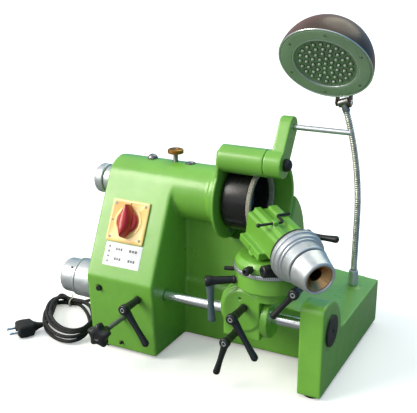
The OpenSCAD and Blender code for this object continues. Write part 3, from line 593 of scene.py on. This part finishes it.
def star_knob():
    """Five-lobed clamping knob on a long stud."""
    place = hinge_frame("star_knob_turn", "star_knob")
    low, high = reach("star_knob", place)
    end, mean_r, lobe = high[2], 17.0, 3.0
    body = rounded([(end - 18, 0), (end - 18, 11), (end - 16, mean_r - 1), (end - 5, mean_r),
                    (end - 1.6, mean_r - 3), (end - 0.3, mean_r - 8), (end, 6), (end - 1.5, 4.5),
                    (end - 1.5, 0)], 2.2, 5)
    def lobes(a, z, r):
        ripple = math.cos(5 * a) + 0.16 * math.cos(10 * a)
        return lobe * ripple * (r / mean_r) ** 2
    hub = rounded([(end - 31, 0), (end - 31, 6.4), (end - 20, 7.2), (end - 17, 10.5), (end - 17, 0)], 1.2)
    piece("star_knob_lobes", *joined(lathe(finer(body, 1.6), 160, lobes), lathe(hub, 48)), place, "star",
          "black_plastic", ("star_knob",))
    stud = finer(rounded([(low[2], 0), (low[2], 4.0), (end - 29, 4.0), (end - 29, 0)], 0.5), 0.5)
    piece("star_knob_stud", *lathe(stud, 32, stud_thread), place, "star", "steel")


def small_knobs():
    """Grub-style lock knob and tilt clamp knob under the workhead, and the plugs on the housing."""
    for node, joint in (("swivel_lock_knob", "swivel_lock_turn"), ("tilt_clamp_knob", "tilt_lock_turn")):
        place = hinge_frame(joint, node, -1 if node == "tilt_clamp_knob" else 1)
        low, high = reach(node, place)
        r, end = high[0], high[2]
        length = 14 if node == "swivel_lock_knob" else 24
        head = rounded([(end - length, 0), (end - length, r - 1.2), (end - length + 1.5, r), (end - 1.5, r),
                        (end, r - 1.6), (end, 2.6), (end - 2.4, 2.2), (end - 2.4, 0)], 0.6)
        wave = knurl(28, 0.35, end - length + 1.6, end - 1.6, r - 0.1)
        shank_r = 2.95 if node == "swivel_lock_knob" else 3.95
        shank = rounded([(low[2], 0), (low[2], shank_r), (end - length + 1, shank_r), (end - length + 1, 0)],
                        0.4)
        piece(node + "_turned", *joined(lathe(finer(head, 0.7), 140, wave), lathe(shank, 32)), place,
              BODY_OF[node], "black_plastic", (node,))
    low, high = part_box("housing_plugs")
    axis_y = (low.y + high.y) / 2
    spot = Vector((low.x + 8.5 * MM, axis_y, high.z))
    dome = [(-13.5, 0), (-13.5, 3.8), (-7.5, 3.8), (-7.5, 8.5)]
    dome += [(-7.5 + 7.5 * math.sin(a * math.pi / 20), 8.5 * math.cos(a * math.pi / 20))
             for a in range(1, 10)]
    piece("housing_dome_plug", *lathe(dome + [(0, 0)], 64), axis_frame(spot, (0, 0, 1)), "base", "steel",
          ("housing_plugs",))
    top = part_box("quill_sleeve")[1].z + 20.2 * MM
    cup = rounded([(-4.2, 0), (-4.2, 7.8), (0, 7.8), (0, 5.4), (-1.6, 4.8), (-1.6, 0)], 0.5)
    spot = Vector((high.x - 7.8 * MM, axis_y, top))
    piece("housing_oil_plug", *lathe(cup, 64), axis_frame(spot, (0, 0, 1)), "base", "steel")


# ---------- switch and label ----------

def corner_outline(half_x, half_y, radius, steps=6):
    """Outline of a rounded rectangle about the origin."""
    result = []
    for i in range(4):
        sx, sy = ((1, 1), (-1, 1), (-1, -1), (1, -1))[i]
        for k in range(steps + 1):
            a = math.pi / 2 * (i + k / steps)
            x, y = sx * (half_x - radius), sy * (half_y - radius)
            result.append((x + radius * math.cos(a), y + radius * math.sin(a)))
    return result


def switch():
    """Yellow plate with a dished field and corner screws, and a red lens-shaped handle on a skirt."""
    place = axis_frame(JOINTS["switch_turn"]["pos_m"], JOINTS["switch_turn"]["axis"])
    low, high = reach("switch_plate", place)
    half, thick = high[0], high[2]
    levels = [(0.05, half - 0.4, 2.2), (0.9, half, 2.6), (thick - 1.2, half, 2.6),
              (thick - 0.4, half - 0.5, 2.4), (thick, half - 1.6, 2.2), (thick, half - 3.6, 2.0),
              (thick - 0.5, half - 4.2, 2.0)]
    plate = loft([(z, corner_outline(h, h, r)) for z, h, r in levels])
    ring = lathe(rounded([(thick - 1.5, 20.2), (thick - 1.5, 25.5), (thick + 0.1, 25), (thick + 0.1, 20.8)],
                         0.4), 96)
    piece("switch_plate_moulded", *joined(plate, ring), place, "base", "yellow_plastic", ("switch_plate",))
    bar = rounded_box((5.5, 1.5, 0.4), 0.1, 1)
    marks = [(bar, turn_z(degrees) @ shift(29.0, 0, thick - 0.42)) for degrees in (0, 90)]
    piece("switch_position_marks", *joined(*marks), place, "base", "black_plastic", look=INK)
    screw = rounded([(thick - 1.6, 0), (thick - 1.6, 2.4), (thick - 0.1, 2.2), (thick + 0.1, 1.4),
                     (thick - 0.5, 1.0), (thick - 0.5, 0)], 0.2)
    spots = [(lathe(screw, 28), shift(sx * 27.5, sy * 27.5, 0)) for sx in (-1, 1) for sy in (-1, 1)]
    piece("switch_plate_screws", *joined(*spots), place, "base", "steel")
    low, high = reach("switch_knob", place)
    long_half, wide_half, top = high[0], 12.0, high[2]
    lens_r = (long_half ** 2 + wide_half ** 2) / (2 * wide_half)
    def lens(scale_x, scale_y, blunt):
        points_xy = []
        for side in (1, -1):
            for k in range(15):
                x = side * long_half * (1 - 2 * k / 14) * 0.985
                y = side * (math.sqrt(lens_r ** 2 - x ** 2) - (lens_r - wide_half) + blunt)
                points_xy.append((x * scale_x, y * scale_y))
        return points_xy
    grip = [(4.6, 1.0, 0.98), (9, 1.0, 1.0), (14, 0.985, 0.86), (18.5, 0.96, 0.68), (top - 1.6, 0.93, 0.52),
            (top - 0.5, 0.90, 0.40), (top, 0.86, 0.26)]
    handle = loft([(z, lens(sx, sy, 0.35)) for z, sx, sy in grip])
    skirt = lathe(rounded([(3.9, 0), (3.9, 19), (6.2, 18.8), (8.4, 17.2), (9.4, 14), (9.6, 0)], 1.2, 4), 96)
    piece("switch_handle", *joined(handle, skirt), place, "switch", "red_plastic", ("switch_knob",),
          crease=26)
    pointer = rounded_box((9, 1.3, 0.4), 0.1, 1)
    piece("switch_pointer", *joined((pointer, shift(19, 0, top - 0.6))), place, "switch", "yellow_plastic",
          look=LABEL_WHITE)
    shaft = rounded([(-18, 0), (-18, 3.95), (5, 3.95), (5, 0)], 0.4)
    piece("switch_shaft", *lathe(shaft, 32), place, "switch", "steel")
    label = shift(-half - 1.4 - 19, -1.5, 0)
    sheet = loft([(z, corner_outline(19, 34 - inset, 1.2))
                  for z, inset in ((0.02, 0), (0.35, 0), (0.5, 0.3))])
    piece("rating_label", *joined((sheet, label)), place, "base", "yellow_plastic", look=LABEL_WHITE)
    bars = []
    for row, (drop, cells) in enumerate(((9, ((-8, 13), (18, 16))), (-7, ((-8, 13), (18, 14))))):
        for centre, width in cells:
            for part in range(3):
                step = width / 3
                bars.append((rounded_box((4.2 - 0.7 * (part % 2), step - 1.3, 0.3), 0.05, 1),
                             label @ shift(drop, -(centre - width / 2 + step * (part + 0.5)), 0.48)))
    for i in range(4):
        bars.append((rounded_box((3.0, 3.0, 0.3), 0.05, 1), label @ shift(12 - 8 * i, 26, 0.48)))
    piece("rating_label_bars", *joined(*bars), place, "base", "black_plastic", look=INK)


# ---------- workhead ----------

def workhead():
    """Dial, nose, collet and index ring, turned about the collet axis."""
    hinge = JOINTS["collet_spin"]
    place = axis_frame(hinge["pos_m"], hinge["axis"])
    start = reach("graduated_dial", place)[0][2]
    place = along(place, start)
    drum_r = reach("graduated_dial", place)[1][0]
    outline = [(0, 13), (0, drum_r - 1.4), (1.2, drum_r), (7.4, drum_r), (8.2, drum_r - 1.4),
               (8.6, drum_r - 2.4), (9.4, drum_r - 1.6), (14, drum_r - 1.6), (16, drum_r - 2.8),
               (16.6, 34.4), (19, 34.2), (19.6, 31.2), (20.4, 31.5), (34.6, 31.5), (36.4, 30.4), (37, 28.6),
               (37, 13)]
    fine = finer(rounded(outline, 0.6), 0.9)
    wave = knurl(110, 0.26, 21, 34.5, 31.2)
    piece("graduated_dial_turned", *lathe(fine, 300, wave), place, "collet_unit", "aluminium",
          ("graduated_dial",))
    graduations("dial_lines", place, "collet_unit", drum_r - 0.05, 1.6, 72, (5.0, 2.6, 2.6), 1, 0.45)
    outline = [(37, 14.2), (37, 27.9), (39, 27.9), (39, 29.0), (40.4, 29.7), (66.2, 24.4), (68, 22.8),
               (68, 20.6), (66.8, 20), (53, 14.2)]
    fine = finer(rounded(outline, 0.6), 0.9)
    piece("collet_nose_turned", *lathe(fine, 288, knurl(96, 0.2, 42, 64, 22)), place, "collet_unit",
          "aluminium", ("collet_nose",))
    # Black ring in the gap between dial and nose: painted shadow for the dark line there.
    shadow_ring_outline = rounded([(37.2, 26), (37.2, 29.2), (38.9, 29.2), (38.9, 26)], 0.5)
    piece("nose_shadow_ring", *lathe(shadow_ring_outline, 128), place, "collet_unit", "black_plastic")
    low, high = reach("collet", place)
    slots = 3
    def slit(a, z, r):
        turned_to = (a * slots / TURN) % 1.0
        near = min(turned_to, 1 - turned_to) * TURN / slots * r
        return 1.2 if near < 0.7 and 9.5 < r < 18.6 and z > 55 else 0.0
    bore = 9.0
    outline = [(low[2], bore), (low[2], 12.4), (37.1, 12.4), (37.1, 13.8), (53, 13.8), (66, 19.0),
               (66, 17.6), (65, 17.0), (56, bore)]
    piece("collet_sleeve", *lathe(finer(rounded(outline, 0.4), 1.2), 240, slit), place, "collet_unit",
          "bronze", ("collet",))
    ring = axis_frame(JOINTS["head_swivel"]["pos_m"], (0, 0, 1), (0, -1, 0))
    low, high = reach("graduated_ring", ring)
    outline = rounded([(low[2], 20.2), (low[2], high[0] - 0.8), (low[2] + 0.8, high[0]),
                       (high[2] - 0.8, high[0]), (high[2], high[0] - 0.8), (high[2], 20.2)], 0.5)
    piece("graduated_ring_turned", *lathe(outline, 160), ring, "carriage", "aluminium", ("graduated_ring",))
    graduations("ring_lines", ring, "carriage", high[0] - 0.02, high[2] - 0.9, 120,
                (4.6, 2.6, 2.6, 2.6, 2.6), -1, 0.4)


def index_latch():
    """Bent wire latch: one swept rod with smooth corners and a round end."""
    place = axis_frame(JOINTS["latch_lift"]["pos_m"], JOINTS["latch_lift"]["axis"],
                       JOINTS["collet_spin"]["axis"])
    low, high = reach("index_latch", place)
    back = low[0] + 2.4
    corners = [(0, 0, low[2] + 3.2), (0, 0, low[2] + 43.2), (back, 0, low[2] + 43.2),
               (back, 0, high[2] - 2.4)]
    path = []
    for i, spot in enumerate(corners):
        spot = Vector(spot)
        if i in (0, len(corners) - 1):
            path.append(spot)
            continue
        a, b = Vector(corners[i - 1]), Vector(corners[i + 1])
        a, b = spot + (a - spot).normalized() * 5, spot + (b - spot).normalized() * 5
        path += [(1 - t) ** 2 * a + 2 * t * (1 - t) * spot + t * t * b for t in [k / 6 for k in range(7)]]
    def ball(r):
        return lathe([(-r * math.cos(math.pi * k / 12), r * math.sin(math.pi * k / 12)) for k in range(13)],
                     24)
    ends = [(ball(3.2), shift(*corners[0])), (ball(2.4), shift(*corners[-1]))]
    piece("index_latch_wire", *joined(sweep(path, lambda s: 2.0, 16), *ends), place, "latch",
          "black_plastic", ("index_latch",))


def wheel():
    """Cup wheel with a rounded rim, a blotter ring, and its abrasive face."""
    place = x_frame("spindle_shaft")
    low, high = reach("grinding_wheel", place)
    face = reach("abrasive_ring", place)[1][2]
    start, rim, r = low[2], high[2], high[0]
    outline = rounded([(start, 12.2), (start, r - 3), (start + 3, r), (rim, r), (rim, r - 7),
                       (start + 18, r - 9), (start + 15, r - 14), (start + 15, 12.2)], 1.6, 4)
    piece("grinding_wheel_cup", *lathe(outline, 144), place, "spindle", "wheel_body", ("grinding_wheel",))
    grit = rounded([(rim, r - 7), (rim, r), (face - 0.8, r), (face, r - 0.9), (face, r - 5.6),
                    (face - 0.8, r - 6.6)],
                   0.5)
    piece("abrasive_ring_dressed", *lathe(grit, 144), place, "spindle", "abrasive", ("abrasive_ring",))
    blotter = rounded([(start + 14.6, 15.5), (start + 15.3, 15.5), (start + 15.3, 30), (start + 14.6, 30)],
                      0.2)
    piece("wheel_blotter", *lathe(blotter, 96), place, "spindle", "abrasive", look=LABEL_WHITE)


# ---------- lamp ----------

def ribbed_neck():
    """Gooseneck: a wound metal hose with ferrules, bent along the CAD tube's line."""
    foot = Vector(JOINTS["lamp_neck_turn"]["pos_m"]) / MM
    knuckle = Vector(JOINTS["lamp_tilt"]["pos_m"]) / MM
    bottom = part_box("gooseneck")[0].z / MM
    straight_top = 208.0
    dx, dz = foot.x - knuckle.x, knuckle.z - straight_top
    bend_r = (dx * dx + dz * dz) / (2 * dx)
    bend = math.asin(dz / bend_r)
    step = 0.5
    path = [Vector((foot.x, foot.y, bottom + 20 + step * i))
            for i in range(int((straight_top - bottom - 20) / step))]
    arc_steps = int(bend * bend_r / step)
    for i in range(arc_steps + 1):
        a = bend * i / arc_steps
        path.append(Vector((foot.x - bend_r * (1 - math.cos(a)), foot.y,
                            straight_top + bend_r * math.sin(a))))
    winding = 3.6
    hose = lambda s: 5.45 - 1.3 * abs(math.cos(math.pi * s / winding)) ** 6
    row = Matrix.Identity(4)
    piece("gooseneck_hose", *sweep(path, hose, 28), row, "lamp_neck", "chrome", ("gooseneck",), NECK_METAL,
          80)
    high_r = (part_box("gooseneck")[1].x / MM - foot.x)
    ferrule = rounded([(bottom, 0), (bottom, high_r - 0.3), (bottom + 5, high_r),
                       (bottom + 24, high_r - 1.0), (bottom + 27, high_r - 2.0), (bottom + 27, 0)], 1.2, 4)
    piece("gooseneck_ferrule", *lathe(ferrule, 56), axis_frame(foot.to_2d().to_3d() * MM, (0, 0, 1)),
          "lamp_neck", "aluminium")
    barrel = rounded([(-9, 0), (-9, 7), (9, 7), (9, 0)], 0.9)
    socket = lathe(rounded([(-16, 0), (-16, 6.1), (-1, 6.3), (-1, 0)], 0.7), 40)
    lean = (path[-1] - path[-3]).normalized()
    end = axis_frame(knuckle * MM, lean, (1, 0, 0))
    cross = (lathe(barrel, 48), turn_y(90))
    piece("gooseneck_knuckle", *joined(socket, cross), end, "lamp_neck", "steel")


def lamp():
    """Domed shade with a bright bead, a face ring with six screws, and a lens plate full of LEDs."""
    normal = max(NODES["lamp_lens"].data.polygons, key=lambda polygon: polygon.area).normal.copy()
    if normal.z > 0:
        normal = -normal
    face = axis_frame(points("lamp_lens").mean(0), normal, (1, 0, 0))
    face = along(face, reach("lamp_lens", face)[1][2])
    low, high = reach("lamp_shell", face)
    rim_r = max(abs(low[0]), high[0])
    depth = 75.0
    dome_r = (rim_r ** 2 + depth ** 2) / (2 * depth)
    def arc(radius, count):
        limit = math.acos((dome_r - depth) / radius)
        return [(-(depth - dome_r + radius * math.cos(limit * k / count)),
                 radius * math.sin(limit * k / count))
                for k in range(count + 1)]
    outer, inner = arc(dome_r, 28), arc(dome_r - 2.5, 28)
    shade = outer + [(0.8, rim_r - 0.6), (0.6, rim_r - 2.2)] + inner[::-1]
    piece("lamp_shade", *lathe(shade, 128), face, "lamp", "lamp_enamel", ("lamp_shell",))
    knuckle = Vector(JOINTS["lamp_tilt"]["pos_m"])
    cheek_frame = axis_frame(knuckle, (1, 0, 0), (0, 0, 1))
    cheek = [(7.5 * math.cos(a), 7.5 * math.sin(a))
             for a in [math.pi / 2 + math.pi * k / 12 for k in range(13)]]
    cheek += [(20, -6), (20, 6)]
    def cheek_at(x):
        return loft([(x, [(p * 0.94, q * 0.94) for p, q in cheek]), (x + 0.5, cheek), (x + 2.7, cheek),
                     (x + 3.2, [(p * 0.94, q * 0.94) for p, q in cheek])])
    piece("lamp_cheeks", *joined(cheek_at(-12.5), cheek_at(9.3)), cheek_frame, "lamp", "lamp_enamel")
    pin = rounded([(-14.5, 0), (-14.5, 3.6), (-12.6, 4.2), (12.6, 4.2), (14.5, 3.6), (14.5, 0)], 0.6)
    piece("lamp_pivot_screw", *lathe(pin, 32), cheek_frame, "lamp", "chrome")
    around = [TURN * k / 12 for k in range(12)]
    bead = [(0.4 + 1.5 * math.cos(a), rim_r - 1.8 + 1.5 * math.sin(a)) for a in around]
    piece("lamp_rim_bead", *lathe(bead, 144), face, "lamp", "chrome")
    ring_in, ring_out = 53.0, 72.5
    ring = rounded([(-3, ring_in), (1.2, ring_in), (2.0, ring_in + 1.4), (2.0, ring_out - 1.5),
                    (0.6, rim_r - 3.2), (-1.5, rim_r - 3.2)], 0.8, 4)
    piece("lamp_face_ring_moulded", *lathe(ring, 128), face, "lamp", "lamp_grey", ("lamp_face_ring",))
    trim = rounded([(-1, ring_in - 2.4), (1.2, ring_in - 2.2), (1.9, ring_in - 0.6), (1.6, ring_in + 0.6),
                    (-1, ring_in + 0.4)], 0.6, 4)
    piece("lamp_lens_trim", *lathe(trim, 128), face, "lamp", "aluminium")
    plate = rounded([(-4, 0), (-4, ring_in - 0.4), (-0.8, ring_in - 0.4), (-0.8, ring_in - 3.5),
                     (-1.6, ring_in - 5), (-1.6, 0)], 0.5)
    piece("lamp_reflector_plate", *lathe(plate, 96), face, "lamp", "lens", ("lamp_lens",))
    dome = [(-1.7, 0), (-1.7, 2.7), (-0.6, 2.6)]
    dome += [(-0.6 + 2.0 * math.sin(math.pi / 2 * k / 5), 2.2 * math.cos(math.pi / 2 * k / 5))
             for k in range(6)]
    # Black ring round the foot of each LED dome: painted shadow standing in for the shade that rings each dome.
    cup = [(-1.7, 2.7), (-1.7, 4.1), (-1.3, 4.0), (-1.0, 3.6), (-1.2, 2.9)]
    domes, led_shade_rings = [], []
    for ring_index, (radius, count) in enumerate(((0, 1), (11, 6), (21, 11), (31, 16), (41, 21))):
        for i in range(count):
            spot = turn_z(360 * i / count + 14 * ring_index) @ shift(radius, 0, 0)
            domes.append((lathe(dome, 14), spot))
            led_shade_rings.append((lathe(cup, 14), spot))
    piece("lamp_leds", *joined(*domes), face, "lamp", "lens", look=LED_CLEAR)
    piece("lamp_led_shade_rings", *joined(*led_shade_rings), face, "lamp", "black_plastic")
    screw = rounded([(0.5, 0), (0.5, 2.4), (2.3, 2.4), (2.7, 1.5), (2.3, 1.0), (2.3, 0)], 0.25)
    spots = [(lathe(screw, 24), turn_z(60 * i + 20) @ shift((ring_in + ring_out) / 2 + 1, 0, 0))
             for i in range(6)]
    piece("lamp_face_screws", *joined(*spots), face, "lamp", "steel")


# ---------- power cord ----------

CORD_R = 3.1
COIL = Vector((-285, -105, 0))
COIL_TURN = -47
COIL_LONG, COIL_SHORT = 88, 43
TIE_AT = math.radians(158)


def cord_path():
    """Centre line: out of the gland, over to the tie, round the coil four times, then on to the plug."""
    turn = math.radians(COIL_TURN)
    sizes = (1.0, 0.90, 0.97, 0.84)
    lean = ((0, 0), (3, -4), (-4, 3), (2, 5))
    pile = ((-3.3, 3.2), (3.3, 3.2), (-3.3, 9.5), (3.3, 9.5))
    coil = []
    steps = 72
    for i in range(4 * steps + 1):
        u = i / steps
        loop = min(3, int(u))
        part = u - loop
        ease = part * part * (3 - 2 * part) if loop < 3 else 0.0
        after = min(3, loop + 1)
        size = sizes[loop] + (sizes[after] - sizes[loop]) * ease
        dx = lean[loop][0] + (lean[after][0] - lean[loop][0]) * ease
        dy = lean[loop][1] + (lean[after][1] - lean[loop][1]) * ease
        a = TIE_AT + TURN * u
        gather = math.exp(-((min(part, 1 - part)) / 0.09) ** 2)
        slot_now = pile[loop] if part < 0.5 else pile[after]
        long_r = COIL_LONG * (size + (0.93 - size) * gather) + slot_now[0] * gather
        short_r = COIL_SHORT * (size + (0.93 - size) * gather) + slot_now[0] * gather
        height = 3.2 + 6.3 * min(3.0, loop + (ease if loop < 3 else 0))
        z = height + (slot_now[1] - height) * gather
        x, y = long_r * math.cos(a) + dx * (1 - gather), short_r * math.sin(a) + dy * (1 - gather)
        coil.append(Vector((COIL.x + x * math.cos(turn) - y * math.sin(turn),
                            COIL.y + x * math.sin(turn) + y * math.cos(turn), z)))
    return coil


def eased(corners, steps=10):
    """A smooth line through the given points."""
    spots = [Vector(c) for c in corners]
    spots = [2 * spots[0] - spots[1]] + spots + [2 * spots[-1] - spots[-2]]
    path = []
    for i in range(1, len(spots) - 2):
        p0, p1, p2, p3 = spots[i - 1:i + 3]
        for k in range(steps):
            t = k / steps
            path.append(0.5 * (2 * p1 + (p2 - p0) * t + (2 * p0 - 5 * p1 + 4 * p2 - p3) * t * t
                               + (3 * p1 - p0 - 3 * p2 + p3) * t ** 3))
    path.append(spots[-2])
    return path


def power_cord():
    """Round cord from the gland through a tied coil to the moulded plug."""
    row = Matrix.Identity(4)
    coil = cord_path()
    gland = Vector((-200, -60, 45))
    first, second = coil[0], coil[1]
    into = (second - first).normalized()
    plug, heading = Vector((-322, -172, 12)), Vector((-0.574, -0.819, 0))
    plug_place = axis_frame(plug * MM, heading)
    back = plug - heading * 26
    last = coil[-1]
    out_of = (coil[-1] - coil[-2]).normalized()
    lead_in = eased([gland + Vector((-4, 0, 0)), gland + Vector((-24, -1, -3)), Vector((-262, -52, 30)),
                     first - into * 34 + Vector((0, 0, 12)), first - into * 10 + Vector((0, 0, 1))])
    tail = eased([last + out_of * 8, last + out_of * 26 + Vector((-4, 0, 3)), back + Vector((0.3, 24, 5)),
                  back + Vector((2.9, 4.1, 0))])
    path = lead_in + coil + tail
    even, gap = [path[0]], 2.0
    for spot in path[1:]:
        if (spot - even[-1]).length >= gap:
            even.append(spot)
    for _ in range(3):
        inner = [(even[i - 1] + even[i] * 2 + even[i + 1]) / 4 for i in range(1, len(even) - 1)]
        even = [even[0], *inner, even[-1]]
    piece("power_cord_coil", *sweep(even, lambda s: CORD_R, 14), row, "base", "rubber", ("power_cord",),
          crease=60)
    gland_outline = rounded([(-1, 0), (-1, 8.5), (4, 8.5), (5, 7.2), (13, 5.6), (20, 4.2), (20, 0)], 1.0, 4)
    def rings(a, z, r):
        return -0.7 * (0.5 + 0.5 * math.cos(TURN * z / 3.4)) if z > 5.5 and r > 3.5 else 0.0
    piece("cable_gland", *lathe(finer(gland_outline, 0.8), 48, rings), axis_frame(gland * MM, (-1, 0, 0)),
          "base", "rubber")
    tie_place = axis_frame(Vector((coil[0].x, coil[0].y, 6.4)) * MM, into, (0, 0, 1))
    hoop = [(6.4 * math.cos(TURN * k / 40), 8.2 * math.sin(TURN * k / 40), 0) for k in range(41)]
    tail_a = eased([(5.0, 4.0, 0), (9.5, 8, 3), (11, 13, 8)], 6)
    tie = joined(sweep(hoop, lambda s: 1.1, 8, 2.2), sweep(tail_a, lambda s: 0.9, 8, 1.6))
    piece("cord_tie", *tie, tie_place, "base", "rubber", look=TIE_WHITE)
    body_levels = [(-26, 4.2, 4.2, 3.6), (-20, 5.4, 5.2, 4.4), (-12, 8.5, 8.0, 5.5), (-7, 11.5, 15.5, 6),
                   (6, 11.6, 17.5, 6), (14, 11.2, 17.0, 6), (17, 10.2, 16.0, 5.5), (18, 8.6, 14.2, 4.5)]
    shell = loft([(z, corner_outline(hx, hy, r)) for z, hx, hy, r in body_levels])
    piece("power_plug_moulded", *shell, plug_place, "base", "rubber", ("power_plug",), crease=40)
    pin = rounded([(17, 0), (17, 2.4), (33, 2.4), (34.5, 1.2), (34.5, 0)], 0.6)
    pins = [(lathe(pin, 24), shift(0, side * 9.5, 0)) for side in (-1, 1)]
    piece("power_plug_pins", *joined(*pins), plug_place, "base", "chrome")


# ---------- stage ----------

def stage():
    """Pale floor, soft daylight-like key from the front left, and a camera at the reference angle."""
    floor_mesh = bpy.data.meshes.new("floor")
    reach_m = 30.0
    corners = [(-reach_m, -reach_m, 0), (reach_m, -reach_m, 0), (reach_m, reach_m, 0),
               (-reach_m, reach_m, 0)]
    floor_mesh.from_pydata(corners, [], [(0, 1, 2, 3)])
    floor = bpy.data.objects.new("floor", floor_mesh)
    link(floor)
    s = Shader("floor_finish")
    seen = s.add("LightPath", {}).outputs["Is Camera Ray"]
    tone = s.mix(seen, rgb(120, 122, 118), rgb(246, 246, 246))
    s.set(Base_Color=s.mix(s.level(s.noise(3, 3), 0.3, 0.7, 0, 0.03), tone, rgb(225, 225, 225)),
          Roughness=0.9)
    s.set(Emission_Color=rgb(255, 252, 248), Emission_Strength=s.maths("MULTIPLY", seen, 0.28))
    floor_mesh.materials.append(s.material)

    world = bpy.data.worlds.new("studio")
    bpy.context.scene.world = world
    sky = Shader(world, "Background", "Generated")
    bright_side = (-0.60, -0.60, 0.53)
    facing = sky.add("VectorMath", {0: sky.coords, 1: bright_side}, operation="DOT_PRODUCT")
    ramp = sky.add("ValToRGB", {"Fac": facing.outputs["Value"]})
    dark_end, bright_end = ramp.color_ramp.elements
    dark_end.color, dark_end.position = (0.08, 0.31, 0.54, 1.0), 0.0
    bright_end.color, bright_end.position = (0.98, 0.99, 1.0, 1.0), 0.75
    seen = sky.add("LightPath", {}).outputs["Is Camera Ray"]
    sky.set(Color=sky.mix(seen, ramp.outputs["Color"], (1.1, 1.1, 1.1, 1.0)), Strength=0.9)

    def sun(name, toward, strength, angle, colour):
        data = bpy.data.lights.new(name, "SUN")
        data.energy, data.angle, data.color = strength, math.radians(angle), colour
        lamp_object = bpy.data.objects.new(name, data)
        link(lamp_object)
        lamp_object.rotation_mode = "QUATERNION"
        lamp_object.rotation_quaternion = Vector(toward).to_track_quat("Z", "Y")

    sun("key", (-0.64, -0.55, 0.54), 2.65, 34, (1.0, 0.955, 0.84))
    sun("top", (0.15, 0.58, 0.80), 1.2, 50, (1.0, 0.93, 0.70))

    camera_data = bpy.data.cameras.new("camera")
    camera_data.sensor_width, camera_data.lens = 36.0, 67.71
    camera_data.clip_end = 100.0
    camera = bpy.data.objects.new("camera", camera_data)
    link(camera)
    azimuth, pitch, roll = math.radians(26.92), math.radians(17.88), math.radians(-0.19)
    camera.location = (0.5086, -1.1228, 0.6275)
    camera.rotation_euler = (math.pi / 2 - pitch, roll, azimuth)
    bpy.context.scene.camera = camera
    bpy.context.scene.view_settings.view_transform = "Standard"


dress_cad_nodes()
for lever_node, lever_sizes in LEVERS.items():
    clamp_lever(lever_node, *lever_sizes)
bar_feed()
spindle_feed()
quill_lock()
star_knob()
small_knobs()
switch()
workhead()
index_latch()
wheel()
ribbed_neck()
lamp()
power_cord()
stage()
